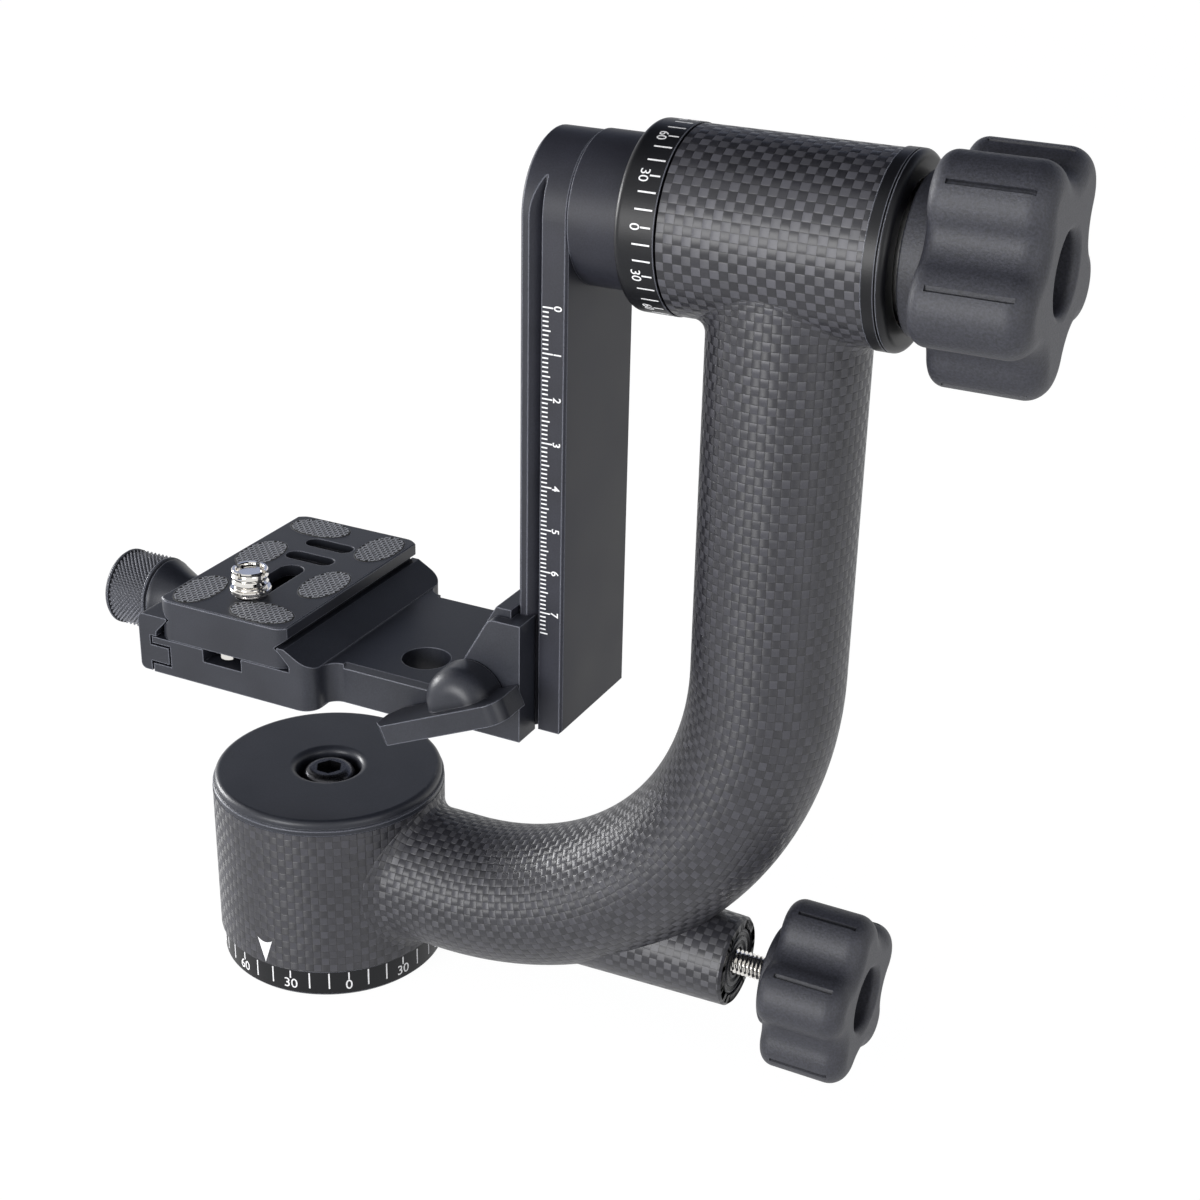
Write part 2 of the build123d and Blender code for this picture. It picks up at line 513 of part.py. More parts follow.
def pan_base():
    """Everything that stays with the tripod: dial, plate, spindle, drum and inner races."""
    plate_radius = DIAL_RADIUS - DIAL_WIDTH
    dial = rod_z(DIAL_RADIUS, 0, DIAL_HEIGHT)
    dial = chamfer(dial.edges().sort_by(Axis.Z)[0], EDGE)
    dial -= rod_z(plate_radius + FIT_GAP, -1, DIAL_HEIGHT + 1)

    screws = PolarLocations(SPINDLE_FLANGE_RADIUS - SPINDLE_SCREW_INSET, SPINDLE_SCREWS).locations
    screw_end = FLANGE_TOP_Z - SPINDLE_SCREW_LENGTH
    head_radius = SPINDLE_SCREW_RADIUS + SPINDLE_SCREW_SINK
    screw = turned(
        [
            (0, screw_end),
            (SPINDLE_SCREW_RADIUS, screw_end),
            (SPINDLE_SCREW_RADIUS, FLANGE_TOP_Z - SPINDLE_SCREW_SINK),
            (head_radius, FLANGE_TOP_Z),
            (0, FLANGE_TOP_Z),
        ]
    )
    screw -= hexagon_z(SPINDLE_SCREW_RADIUS, FLANGE_TOP_Z - SPINDLE_SCREW_SINK, FLANGE_TOP_Z + 1)
    seat = turned(
        [
            (0, screw_end - FIT_GAP),
            (SPINDLE_SCREW_RADIUS + FIT_GAP, screw_end - FIT_GAP),
            (SPINDLE_SCREW_RADIUS + FIT_GAP, FLANGE_TOP_Z - SPINDLE_SCREW_SINK),
            (head_radius + FIT_GAP, FLANGE_TOP_Z),
            (0, FLANGE_TOP_Z),
        ]
    )

    plate = rod_z(plate_radius, 0, DIAL_HEIGHT) - rod_z(SPINDLE_RADIUS + FIT_GAP, -1, DIAL_HEIGHT + 1)
    spindle = rod_z(SPINDLE_RADIUS, 0, SPINDLE_TOP_Z)
    spindle += rod_z(SPINDLE_FLANGE_RADIUS, DIAL_HEIGHT, FLANGE_TOP_Z)
    spindle += rod_z(SPINDLE_SHOULDER_RADIUS, FLANGE_TOP_Z, LOWER_BEARING_Z)
    spindle -= rod_z(TRIPOD_THREAD_RADIUS, -1, TRIPOD_THREAD_DEPTH)
    screw_bore_z = SPINDLE_TOP_Z - CENTRE_SCREW_LENGTH
    spindle -= rod_z(CENTRE_SCREW_RADIUS + FIT_GAP, screw_bore_z, SPINDLE_TOP_Z + 1)
    for place in screws:
        plate -= place * seat
        spindle -= place * seat

    drum = rod_z(DRUM_HUB_RADIUS, LOWER_BEARING_Z + PAN_BEARING_WIDTH, UPPER_BEARING_Z)
    drum += rod_z(DRUM_RADIUS, LOCK_Z - DRUM_HEIGHT / 2, LOCK_Z + DRUM_HEIGHT / 2)
    drum -= rod_z(SPINDLE_RADIUS + FIT_GAP, 0, SPINDLE_TOP_Z)

    washer_top = SPINDLE_TOP_Z + CENTRE_WASHER_HEIGHT
    washer = rod_z(CENTRE_WASHER_RADIUS, SPINDLE_TOP_Z, washer_top)
    washer = chamfer(washer.edges().sort_by(Axis.Z)[-1], EDGE / 2)
    washer -= rod_z(CENTRE_SCREW_RADIUS + FIT_GAP, 0, washer_top + 1)
    centre_screw = Pos(0, 0, washer_top) * socket_screw(
        CENTRE_SCREW_RADIUS,
        CENTRE_SCREW_LENGTH,
        CENTRE_HEAD_RADIUS,
        CENTRE_HEAD_HEIGHT,
        CENTRE_HEXAGON,
        CENTRE_HEAD_ROUND,
    )

    inner, _, rollers = bearing(SPINDLE_RADIUS, PAN_BEARING_RADIUS, PAN_BEARING_WIDTH)
    inner_rings = []
    balls = []
    for height in (LOWER_BEARING_Z, UPPER_BEARING_Z):
        inner_rings.append(Pos(0, 0, height) * inner)
        balls += [Pos(0, 0, height) * ball for ball in rollers]
    return {
        "pan_dial_ring": dial,
        "base_plate": plate,
        "pan_spindle": spindle,
        "brake_drum": drum,
        "spindle_screws": [place * screw for place in screws],
        "centre_washer": washer,
        "centre_screw": centre_screw,
        "pan_bearing_inner_rings": inner_rings,
        "pan_bearing_balls": balls,
    }


# ---- carbon arm and what is bonded into it --------------------------------------------------


def bent_bar(radius):
    """Round bar that runs along the tube's middle line, from the pan axis to the tilt axis."""
    torus = Pos(BEND_X, 0, BEND_Z) * Rot(90, 0, 0) * Torus(BEND_RADIUS, radius)
    room = radius + 1
    bend = torus & block((BEND_X, TUBE_X + room), (-room, room), (TUBE_Z - room, BEND_Z))
    return rod_x(radius, 0, BEND_X, z=TUBE_Z) + bend + rod_z(radius, BEND_Z, TILT_Z, x=TUBE_X)


def filleted_root(bar, sleeve, low, high):
    """The bar outside a sleeve, with a fillet where it meets the sleeve between two heights."""
    joined = bar + sleeve
    seams = joined.edges().filter_by(GeomType.BSPLINE).filter_by_position(Axis.Z, low, high)
    return fillet(seams, TUBE_FILLET) - sleeve


def carbon_tube():
    """Bent tube, its pan lock boss, and the insert and guide of the lock."""
    solid = bent_bar(TUBE_RADIUS)
    tube = filleted_root(solid, rod_z(BASE_RADIUS, 0, 2 * TUBE_Z), 0, BEND_Z)
    tilt_core = rod_x(TILT_SLEEVE_RADIUS, ARM_FACE_X, 2 * TUBE_X, z=TILT_Z)
    tube = filleted_root(tube, tilt_core, BEND_Z, TILT_Z)
    tube -= bent_bar(TUBE_RADIUS - TUBE_WALL)
    rod_room = rod_x(LOCK_ROD_RADIUS + LOCK_ROD_ROOM, BEND_X, INSERT_X + 1, z=LOCK_Z)
    tube -= rod_room
    insert_bore = rod_x(INSERT_RADIUS + FIT_GAP, INSERT_X, BOSS_END_X + 1, z=LOCK_Z)
    tube -= insert_bore

    boss = cone_x(BOSS_RADIUS + BOSS_TAPER, BOSS_RADIUS, BOSS_START_X, BOSS_END_X, z=LOCK_Z)
    boss = chamfer(boss.edges().sort_by(Axis.X)[-1], EDGE)
    boss -= solid
    boss = boss.solids().sort_by(SortBy.VOLUME)[-1]
    boss -= insert_bore
    boss -= rod_room

    insert = rod_x(INSERT_RADIUS, INSERT_X, BOSS_END_X - INSERT_RECESS, z=LOCK_Z)
    insert = chamfer(insert.edges().sort_by(Axis.X)[-1], EDGE)
    insert -= rod_x(STUD_RADIUS + RUNNING_GAP, 0, BOSS_END_X, z=LOCK_Z)

    guide_x = BASE_RADIUS + GUIDE_START
    guide = rod_x(TUBE_RADIUS - TUBE_WALL - FIT_GAP, guide_x, guide_x + GUIDE_LENGTH, z=TUBE_Z)
    guide -= rod_x(LOCK_ROD_RADIUS + RUNNING_GAP, 0, BOSS_END_X, z=LOCK_Z)
    return {"j_tube": tube, "lock_boss": boss, "lock_insert": insert, "rod_guide": guide}


def pan_housing():
    """Carbon sleeve of the base with its bonded housings and cap."""
    liner_radius = BASE_BORE - FIT_GAP
    shoe_path = rod_x(SHOE_RADIUS + RUNNING_GAP, 0, BASE_RADIUS + 1, z=LOCK_Z)
    sleeve = rod_z(BASE_RADIUS, BASE_BOTTOM_Z, BASE_SLEEVE_TOP)
    sleeve -= rod_z(BASE_BORE, 0, BASE_SLEEVE_TOP + 1)
    sleeve -= shoe_path

    housing = rod_z(liner_radius, BASE_BOTTOM_Z, CARRIER_Z)
    housing -= rod_z(SPINDLE_FLANGE_RADIUS + SEAM_GAP, 0, LOWER_BEARING_Z)
    housing -= rod_z(PAN_BEARING_RADIUS, 0, LOWER_BEARING_Z + PAN_BEARING_WIDTH)
    housing -= rod_z(BEARING_LIP_RADIUS, 0, CARRIER_Z + 1)
    housing -= rod_z(DRUM_RADIUS + DRUM_ROOM, DRUM_CAVITY_Z, CARRIER_Z + 1)
    housing -= shoe_path

    carrier = rod_z(liner_radius, CARRIER_Z, CAP_PLUG_Z)
    carrier -= rod_z(BEARING_LIP_RADIUS, 0, CAP_PLUG_Z + 1)
    carrier -= rod_z(PAN_BEARING_RADIUS, UPPER_BEARING_Z, CAP_PLUG_Z + 1)
    carrier -= shoe_path

    crown = rod_z(CAP_RADIUS - CAP_STEP, CAP_PLUG_Z, CAP_TOP_Z)
    crown = fillet(crown.edges().sort_by(Axis.Z)[-1], CAP_CROWN_ROUND)
    crown -= rod_z(CAP_RADIUS, 0, BASE_SLEEVE_TOP)
    rim = rod_z(CAP_RADIUS, BASE_SLEEVE_TOP, BASE_SLEEVE_TOP + CAP_RIM_HEIGHT)
    cap = crown + chamfer(rim.edges().sort_by(Axis.Z)[-1], CAP_STEP / 2)
    cap += rod_z(liner_radius, CAP_PLUG_Z, BASE_SLEEVE_TOP)
    cap -= rod_z(CAP_WELL_RADIUS - CAP_WELL_LIP, 0, CAP_TOP_Z + 1)
    mouth = cap.faces().sort_by(Axis.Z)[-1].inner_wires()[0]
    cap = fillet(mouth.edges(), CAP_WELL_LIP)
    _, outer, _ = bearing(SPINDLE_RADIUS, PAN_BEARING_RADIUS, PAN_BEARING_WIDTH)
    bearing_zs = (LOWER_BEARING_Z, UPPER_BEARING_Z)
    return {
        "base_sleeve": sleeve,
        "base_housing": housing,
        "bearing_carrier": carrier,
        "base_cap": cap,
        "pan_bearing_outer_rings": [Pos(0, 0, height) * outer for height in bearing_zs],
    }


def tilt_housing():
    """Carbon sleeve of the tilt axis with its liner, collar, friction disc and outer races."""
    bore = TILT_SLEEVE_RADIUS - SLEEVE_WALL
    shaft_room = TILT_SHAFT_RADIUS + COLLAR_ROOM
    sleeve = rod_x(TILT_SLEEVE_RADIUS, TILT_SLEEVE_X, TILT_SLEEVE_END_X, z=TILT_Z)
    sleeve -= rod_x(bore, 0, TILT_SLEEVE_END_X + 1, z=TILT_Z)

    liner = rod_x(bore - FIT_GAP, TILT_SLEEVE_X, TILT_SLEEVE_END_X, z=TILT_Z)
    liner -= rod_x(TILT_BEARING_RADIUS, 0, TILT_BEARING_XS[0] + TILT_BEARING_WIDTH, z=TILT_Z)
    liner -= rod_x(TILT_BEARING_RADIUS, TILT_BEARING_XS[1], TILT_SLEEVE_END_X + 1, z=TILT_Z)
    liner -= rod_x(TILT_BEARING_RADIUS - LINER_LIP, 0, TILT_SLEEVE_END_X, z=TILT_Z)

    collar_end = TILT_SLEEVE_END_X + COLLAR_LENGTH
    collar = rod_x(COLLAR_RADIUS, TILT_SLEEVE_END_X, collar_end, z=TILT_Z)
    collar = fillet(collar.edges().sort_by(Axis.X)[-1], COLLAR_ROUND)
    groove_x = TILT_SLEEVE_END_X + COLLAR_BAND
    groove = rod_x(COLLAR_RADIUS + 1, groove_x, groove_x + COLLAR_GROOVE, z=TILT_Z)
    collar -= groove - rod_x(COLLAR_RADIUS - COLLAR_GROOVE, groove_x, groove_x + COLLAR_GROOVE, z=TILT_Z)
    collar -= rod_x(COLLAR_RECESS_RADIUS, FRICTION_X, collar_end + 1, z=TILT_Z)
    collar -= rod_x(shaft_room, 0, collar_end, z=TILT_Z)

    disc_end = FRICTION_X + FRICTION_DISC_HEIGHT
    disc = rod_x(COLLAR_RECESS_RADIUS - SLIDE_GAP, FRICTION_X, disc_end, z=TILT_Z)
    disc -= rod_x(shaft_room, 0, collar_end, z=TILT_Z)
    _, outer, _ = bearing(TILT_SHAFT_RADIUS, TILT_BEARING_RADIUS, TILT_BEARING_WIDTH)
    turned_outer = Rot(0, 90, 0) * outer
    return {
        "tilt_sleeve": sleeve,
        "tilt_housing": liner,
        "tilt_collar": collar,
        "friction_disc": disc,
        "tilt_bearing_outer_rings": [Pos(start, 0, TILT_Z) * turned_outer for start in TILT_BEARING_XS],
    }


# ---- pan lock -------------------------------------------------------------------------------


def pan_lock():
    """Brake shoe and push rod, and the lobed knob with its stud."""
    shoe = rod_x(SHOE_RADIUS, 0, SHOE_END_X, z=LOCK_Z) - rod_z(DRUM_RADIUS + SHOE_GAP, 0, TILT_Z)
    rod = rod_x(LOCK_ROD_RADIUS, SHOE_END_X, STUD_START_X, z=LOCK_Z)
    rod = chamfer(rod.edges().sort_by(Axis.X)[-1], EDGE)

    core_start = PAN_KNOB_X - PAN_CORE_PROUD
    core_end = PAN_KNOB_X + KNOB_CORE_DEPTH
    stud = rod_x(STUD_RADIUS, STUD_START_X, core_end - EDGE, z=LOCK_Z)
    core = rod_x(KNOB_CORE_RADIUS, core_start, core_end, z=LOCK_Z)
    core = chamfer(core.edges().sort_by(Axis.X)[0], EDGE)
    core -= rod_x(STUD_RADIUS + FIT_GAP, 0, core_end - EDGE, z=LOCK_Z)
    knob = lobed_knob(
        PAN_KNOB_RADIUS, PAN_KNOB_VALLEY, PAN_KNOB_CROWN, PAN_KNOB_LENGTH, PAN_KNOB_TURN, PAN_KNOB_EYE
    )
    knob = Pos(PAN_KNOB_X, 0, LOCK_Z) * (knob + skirt(PAN_SKIRT_RADIUS, PAN_SKIRT_LENGTH))
    knob -= rod_x(KNOB_CORE_RADIUS + FIT_GAP, 0, core_end + FIT_GAP, z=LOCK_Z)
    return {
        "brake_shoe": shoe,
        "push_rod": rod,
        "pan_lock_stud": stud,
        "pan_knob_core": core,
        "pan_lock_knob": knob,
    }


# ---- swing arm and tilt shaft ---------------------------------------------------------------


def swing_arm():
    """Dovetail arm with its hub, dial and shaft, which swing about the tilt axis."""
    half = ARM_WIDTH / 2
    waist = half - RAIL_GROOVE_DEPTH
    arm = block((ARM_FACE_X, ARM_BACK_X), (-half, half), (ARM_BOTTOM_Z, TILT_Z))
    arm += rod_x(half, ARM_FACE_X, ARM_BACK_X, z=TILT_Z)
    arm = chamfer(arm.faces().filter_by(Axis.X).edges(), EDGE)
    groove = [
        (ARM_FACE_X + RAIL_EDGE, half + 1),
        (ARM_FACE_X + RAIL_EDGE, half),
        (ARM_FACE_X + RAIL_EDGE + RAIL_GROOVE_DEPTH, waist),
        (ARM_FACE_X + RAIL_GROOVE_END, waist),
        (ARM_FACE_X + RAIL_GROOVE_END, half + 1),
    ]
    far_groove = prism_z(groove, ARM_BOTTOM_Z - 1, TILT_Z + half)
    arm -= far_groove
    arm -= mirror(far_groove, about=Plane.XZ)

    hub = rod_x(HUB_RADIUS, ARM_BACK_X, DIAL_X, z=TILT_Z)
    hub -= rod_x(TILT_SHAFT_RADIUS + FIT_GAP, DIAL_X - SHAFT_SEAT, DIAL_X + 1, z=TILT_Z)

    hub_screw = Rot(0, -90, 0) * socket_screw(
        HUB_SCREW_RADIUS,
        HUB_SCREW_LENGTH,
        HUB_SCREW_HEAD_RADIUS,
        HUB_SCREW_SINK - EDGE,
        2 * HUB_SCREW_RADIUS,
    )
    hub_hole = rod_x(HUB_SCREW_HEAD_RADIUS + RUNNING_GAP, -HUB_SCREW_SINK - 1, 0)
    hub_hole += rod_x(HUB_SCREW_RADIUS + FIT_GAP, -1, HUB_SCREW_LENGTH + FIT_GAP)
    hub_screws = []
    screw_circle = HUB_RADIUS - HUB_SCREW_INSET
    for place in PolarLocations(screw_circle, HUB_SCREWS, start_angle=180 / HUB_SCREWS).locations:
        where = Pos(ARM_FACE_X + HUB_SCREW_SINK, place.position.X, TILT_Z + place.position.Y)
        arm -= where * hub_hole
        hub -= where * hub_hole
        hub_screws.append(where * hub_screw)

    stop_screw = Rot(0, -90, 0) * socket_screw(
        RAIL_STOP_RADIUS,
        RAIL_STOP_LENGTH,
        RAIL_STOP_HEAD_RADIUS,
        RAIL_STOP_HEAD_HEIGHT,
        RAIL_STOP_RADIUS,
    )
    stop_screws = []
    for height in (RAIL_STOP_LOW_Z, RAIL_STOP_HIGH_Z):
        arm -= rod_x(RAIL_STOP_RADIUS + FIT_GAP, 0, ARM_FACE_X + RAIL_STOP_LENGTH + FIT_GAP, z=height)
        stop_screws.append(Pos(ARM_FACE_X, 0, height) * stop_screw)

    dial_end = DIAL_X + TILT_DIAL_LENGTH
    spacer_radius = TILT_SHAFT_RADIUS + SPACER_WALL
    dial = rod_x(TILT_DIAL_RADIUS, DIAL_X, dial_end, z=TILT_Z)
    dial = fillet(dial.edges().sort_by(Axis.X)[0], TILT_DIAL_ROUND)
    dial += rod_x(spacer_radius, dial_end, TILT_BEARING_XS[0], z=TILT_Z)
    dial -= rod_x(TILT_SHAFT_RADIUS + FIT_GAP, 0, TILT_SLEEVE_END_X, z=TILT_Z)

    shaft = rod_x(TILT_SHAFT_RADIUS, DIAL_X - SHAFT_SEAT, SHAFT_END_X, z=TILT_Z)
    shaft += rod_x(TILT_THREAD_RADIUS, SHAFT_END_X, THREAD_END_X, z=TILT_Z)
    shaft = chamfer(shaft.edges().sort_by(Axis.X)[-1], EDGE)

    spacer = rod_x(spacer_radius, TILT_BEARING_XS[0] + TILT_BEARING_WIDTH, TILT_BEARING_XS[1], z=TILT_Z)
    spacer -= rod_x(TILT_SHAFT_RADIUS + FIT_GAP, 0, TILT_SLEEVE_END_X, z=TILT_Z)

    inner, _, rollers = bearing(TILT_SHAFT_RADIUS, TILT_BEARING_RADIUS, TILT_BEARING_WIDTH)
    inner_rings = []
    balls = []
    for start in TILT_BEARING_XS:
        where = Pos(start, 0, TILT_Z) * Rot(0, 90, 0)
        inner_rings.append(where * inner)
        balls += [where * ball for ball in rollers]
    return {
        "swing_arm": arm,
        "arm_hub": hub,
        "hub_screws": hub_screws,
        "rail_stop_screws": stop_screws,
        "tilt_dial": dial,
        "tilt_shaft": shaft,
        "shaft_spacer": spacer,
        "tilt_bearing_inner_rings": inner_rings,
        "tilt_bearing_balls": balls,
    }


def tilt_lock():
    """Thrust washer and lobed knob on the tilt shaft's thread."""
    shaft_room = TILT_SHAFT_RADIUS + RUNNING_GAP
    core_end = TILT_KNOB_X + KNOB_CORE_DEPTH
    washer = rod_x(THRUST_WASHER_RADIUS, WASHER_X, TILT_CORE_X, z=TILT_Z)
    washer -= rod_x(shaft_room, 0, TILT_CORE_X + 1, z=TILT_Z)
    core = rod_x(KNOB_CORE_RADIUS, TILT_CORE_X, core_end, z=TILT_Z)
    core -= rod_x(shaft_room, 0, SHAFT_END_X + THRUST_WASHER_GAP, z=TILT_Z)
    core -= rod_x(TILT_THREAD_RADIUS + RUNNING_GAP, 0, THREAD_END_X + THRUST_WASHER_GAP, z=TILT_Z)
    knob = lobed_knob(
        TILT_KNOB_RADIUS, TILT_KNOB_VALLEY, TILT_KNOB_CROWN, TILT_KNOB_LENGTH, TILT_KNOB_TURN, TILT_KNOB_EYE
    )
    knob = Pos(TILT_KNOB_X, 0, TILT_Z) * (knob + skirt(TILT_SKIRT_RADIUS, TILT_SKIRT_LENGTH))
    knob -= rod_x(KNOB_CORE_RADIUS + FIT_GAP, 0, core_end + FIT_GAP, z=TILT_Z)
    return {"thrust_washer": washer, "tilt_knob_core": core, "tilt_knob": knob}


# ---- camera platform ------------------------------------------------------------------------


def jaw_profile(side):
    """Inner outline of a dovetail jaw in X and Z, from its top down, on the side +1 or -1."""
    slope = DOVETAIL_DEPTH / (DOVETAIL_WAIST - PLATE_FOOT)
    slack = PLATE_GAP * math.sqrt(1 + slope ** 2)
    foot = PLATE_WIDTH / 2 + PLATE_GAP
    foot_rise = (slack - PLATE_GAP) / slope
    tip_rise = (PLATE_WIDTH / 2 + slack - JAW_REACH) / slope
    outline = [
        (JAW_REACH + JAW_NOSE, JAW_TOP_Z),
        (JAW_REACH, JAW_TOP_Z),
        (JAW_REACH, PLATE_Z + PLATE_FOOT + tip_rise),
        (foot, PLATE_Z + PLATE_FOOT + foot_rise),
    ]
    return [(PLATFORM_X + side * distance, height) for distance, height in outline]


def platform_body():
    """Quick release clamp, neck and slanted head in one piece, with its stop pin."""
    half = PLATE_LENGTH / 2
    left = PLATFORM_X - CLAMP_LEFT
    right = PLATFORM_X + CLAMP_RIGHT
    jaw = jaw_profile(1)
    outline = [(left, CLAMP_BOTTOM_Z), (right, CLAMP_BOTTOM_Z), (right, JAW_TOP_Z - FIXED_JAW_DROP)]
    outline += jaw + [(jaw[-1][0], CLAMP_SEAT_Z), (left, CLAMP_SEAT_Z)]
    body = prism_y(outline, -half, half)
    corners = body.edges().filter_by(Axis.Z).group_by(Axis.X)[-1]
    body = fillet(corners, CLAMP_CORNER_SHARE * SHOULDER)

    neck_end = ARM_JAW_START_X - ARM_JAW_GAP
    neck = block((right - 1, neck_end), (-NECK_HALF_WIDTH, NECK_HALF_WIDTH), (NECK_BOTTOM_Z, NECK_TOP_Z))
    body += neck
    roots = body.edges().filter_by(Axis.Z).filter_by(
        lambda edge: math.dist((edge.center().X, abs(edge.center().Y)), (right, NECK_HALF_WIDTH)) < EDGE
    )
    body = fillet(roots, NECK_FILLET)
    head_outline = [
        (HEAD_START_X, NECK_BOTTOM_Z),
        (ARM_FACE_X + GRIP_REACH, NECK_BOTTOM_Z),
        (ARM_FACE_X + GRIP_REACH, HEAD_TOP_Z),
        (HEAD_TOP_START_X, HEAD_TOP_Z),
        (HEAD_START_X, NECK_TOP_Z),
    ]
    body += prism_y(head_outline, HEAD_NEAR_Y, NECK_HALF_WIDTH)
    bevel = [
        (NECK_HALF_WIDTH - NECK_BEVEL, NECK_TOP_Z),
        (NECK_HALF_WIDTH + 1, NECK_TOP_Z),
        (NECK_HALF_WIDTH + 1, NECK_TOP_Z - NECK_BEVEL),
        (NECK_HALF_WIDTH, NECK_TOP_Z - NECK_BEVEL),
    ]
    far_bevel = prism_x(bevel, right + NECK_FILLET, HEAD_START_X)
    body -= far_bevel
    body -= mirror(far_bevel, about=Plane.XZ)

    rail_half = ARM_WIDTH / 2
    bite_start = ARM_FACE_X + RAIL_EDGE + RAIL_GAP * (math.sqrt(2) - 1)
    channel_end = ARM_FACE_X + GRIP_REACH + 1
    rail = [
        (ARM_FACE_X - SLIDE_GAP, -half),
        (channel_end, -half),
        (channel_end, rail_half + RAIL_GAP - (channel_end - bite_start)),
        (bite_start, rail_half + RAIL_GAP),
        (ARM_FACE_X - SLIDE_GAP, rail_half + RAIL_GAP),
    ]
    body -= prism_z(rail, 0, TILT_Z)
    stop_room = RAIL_STOP_HEAD_RADIUS + SLIDE_GAP
    body -= block(
        (ARM_FACE_X - RAIL_STOP_HEAD_HEIGHT - SLIDE_GAP, ARM_FACE_X),
        (-stop_room, stop_room),
        (0, RAIL_STOP_LOW_Z + stop_room),
    )

    channel = (PLATFORM_X - CHANNEL_WIDTH / 2, PLATFORM_X + CHANNEL_WIDTH / 2)
    body -= block(channel, (-half - 1, half + 1), (CLAMP_SEAT_Z - CHANNEL_DEPTH, CLAMP_SEAT_Z + 1))
    tongue_low = TONGUE_Z - TONGUE_HEIGHT / 2 - QR_SEAM
    tongue_high = TONGUE_Z + TONGUE_HEIGHT / 2 + QR_SEAM
    body -= block((left - 1, left + TONGUE_LENGTH), (-half - 1, half + 1), (tongue_low, tongue_high))
    screw_end = QR_NECK_X + QR_SCREW_LENGTH + SLIDE_GAP
    body -= rod_x(QR_SCREW_RADIUS + RUNNING_GAP, left - 1, screw_end, z=QR_SCREW_Z)
    pin_end = QR_JAW_X - QR_JAW_THICKNESS + GUIDE_PIN_INSET + GUIDE_PIN_LENGTH + SLIDE_GAP
    for side in (-1, 1):
        body -= rod_x(
            GUIDE_PIN_RADIUS + RUNNING_GAP, left - 1, pin_end, y=side * GUIDE_PIN_Y, z=TONGUE_Z
        )
    body -= rod_z(NECK_HOLE_RADIUS, 0, NECK_TOP_Z + 1, x=NECK_HOLE_X, y=NECK_HOLE_Y)
    body -= rod_y(
        LEVER_SCREW_RADIUS + RUNNING_GAP,
        -half,
        HEAD_NEAR_Y + LEVER_SCREW_DEPTH + SLIDE_GAP,
        x=LEVER_X,
        z=LEVER_Z,
    )
    pin_hole_end = HEAD_NEAR_Y + JAW_PIN_DEPTH + SLIDE_GAP
    for distance, z in ARM_JAW_PINS:
        body -= rod_y(JAW_PIN_RADIUS + RUNNING_GAP, -half, pin_hole_end, x=ARM_FACE_X - distance, z=z)

    pin_foot = CLAMP_SEAT_Z - CHANNEL_DEPTH - STOP_PIN_DEPTH
    stop_pin = rod_z(STOP_PIN_RADIUS, pin_foot, CLAMP_SEAT_Z - SLIDE_GAP, x=PLATFORM_X)
    stop_pin = chamfer(stop_pin.edges().sort_by(Axis.Z)[-1], EDGE / 2)
    body -= rod_z(STOP_PIN_RADIUS + FIT_GAP, pin_foot, CLAMP_SEAT_Z, x=PLATFORM_X)
    return {"platform_body": body, "plate_stop_pin": stop_pin}


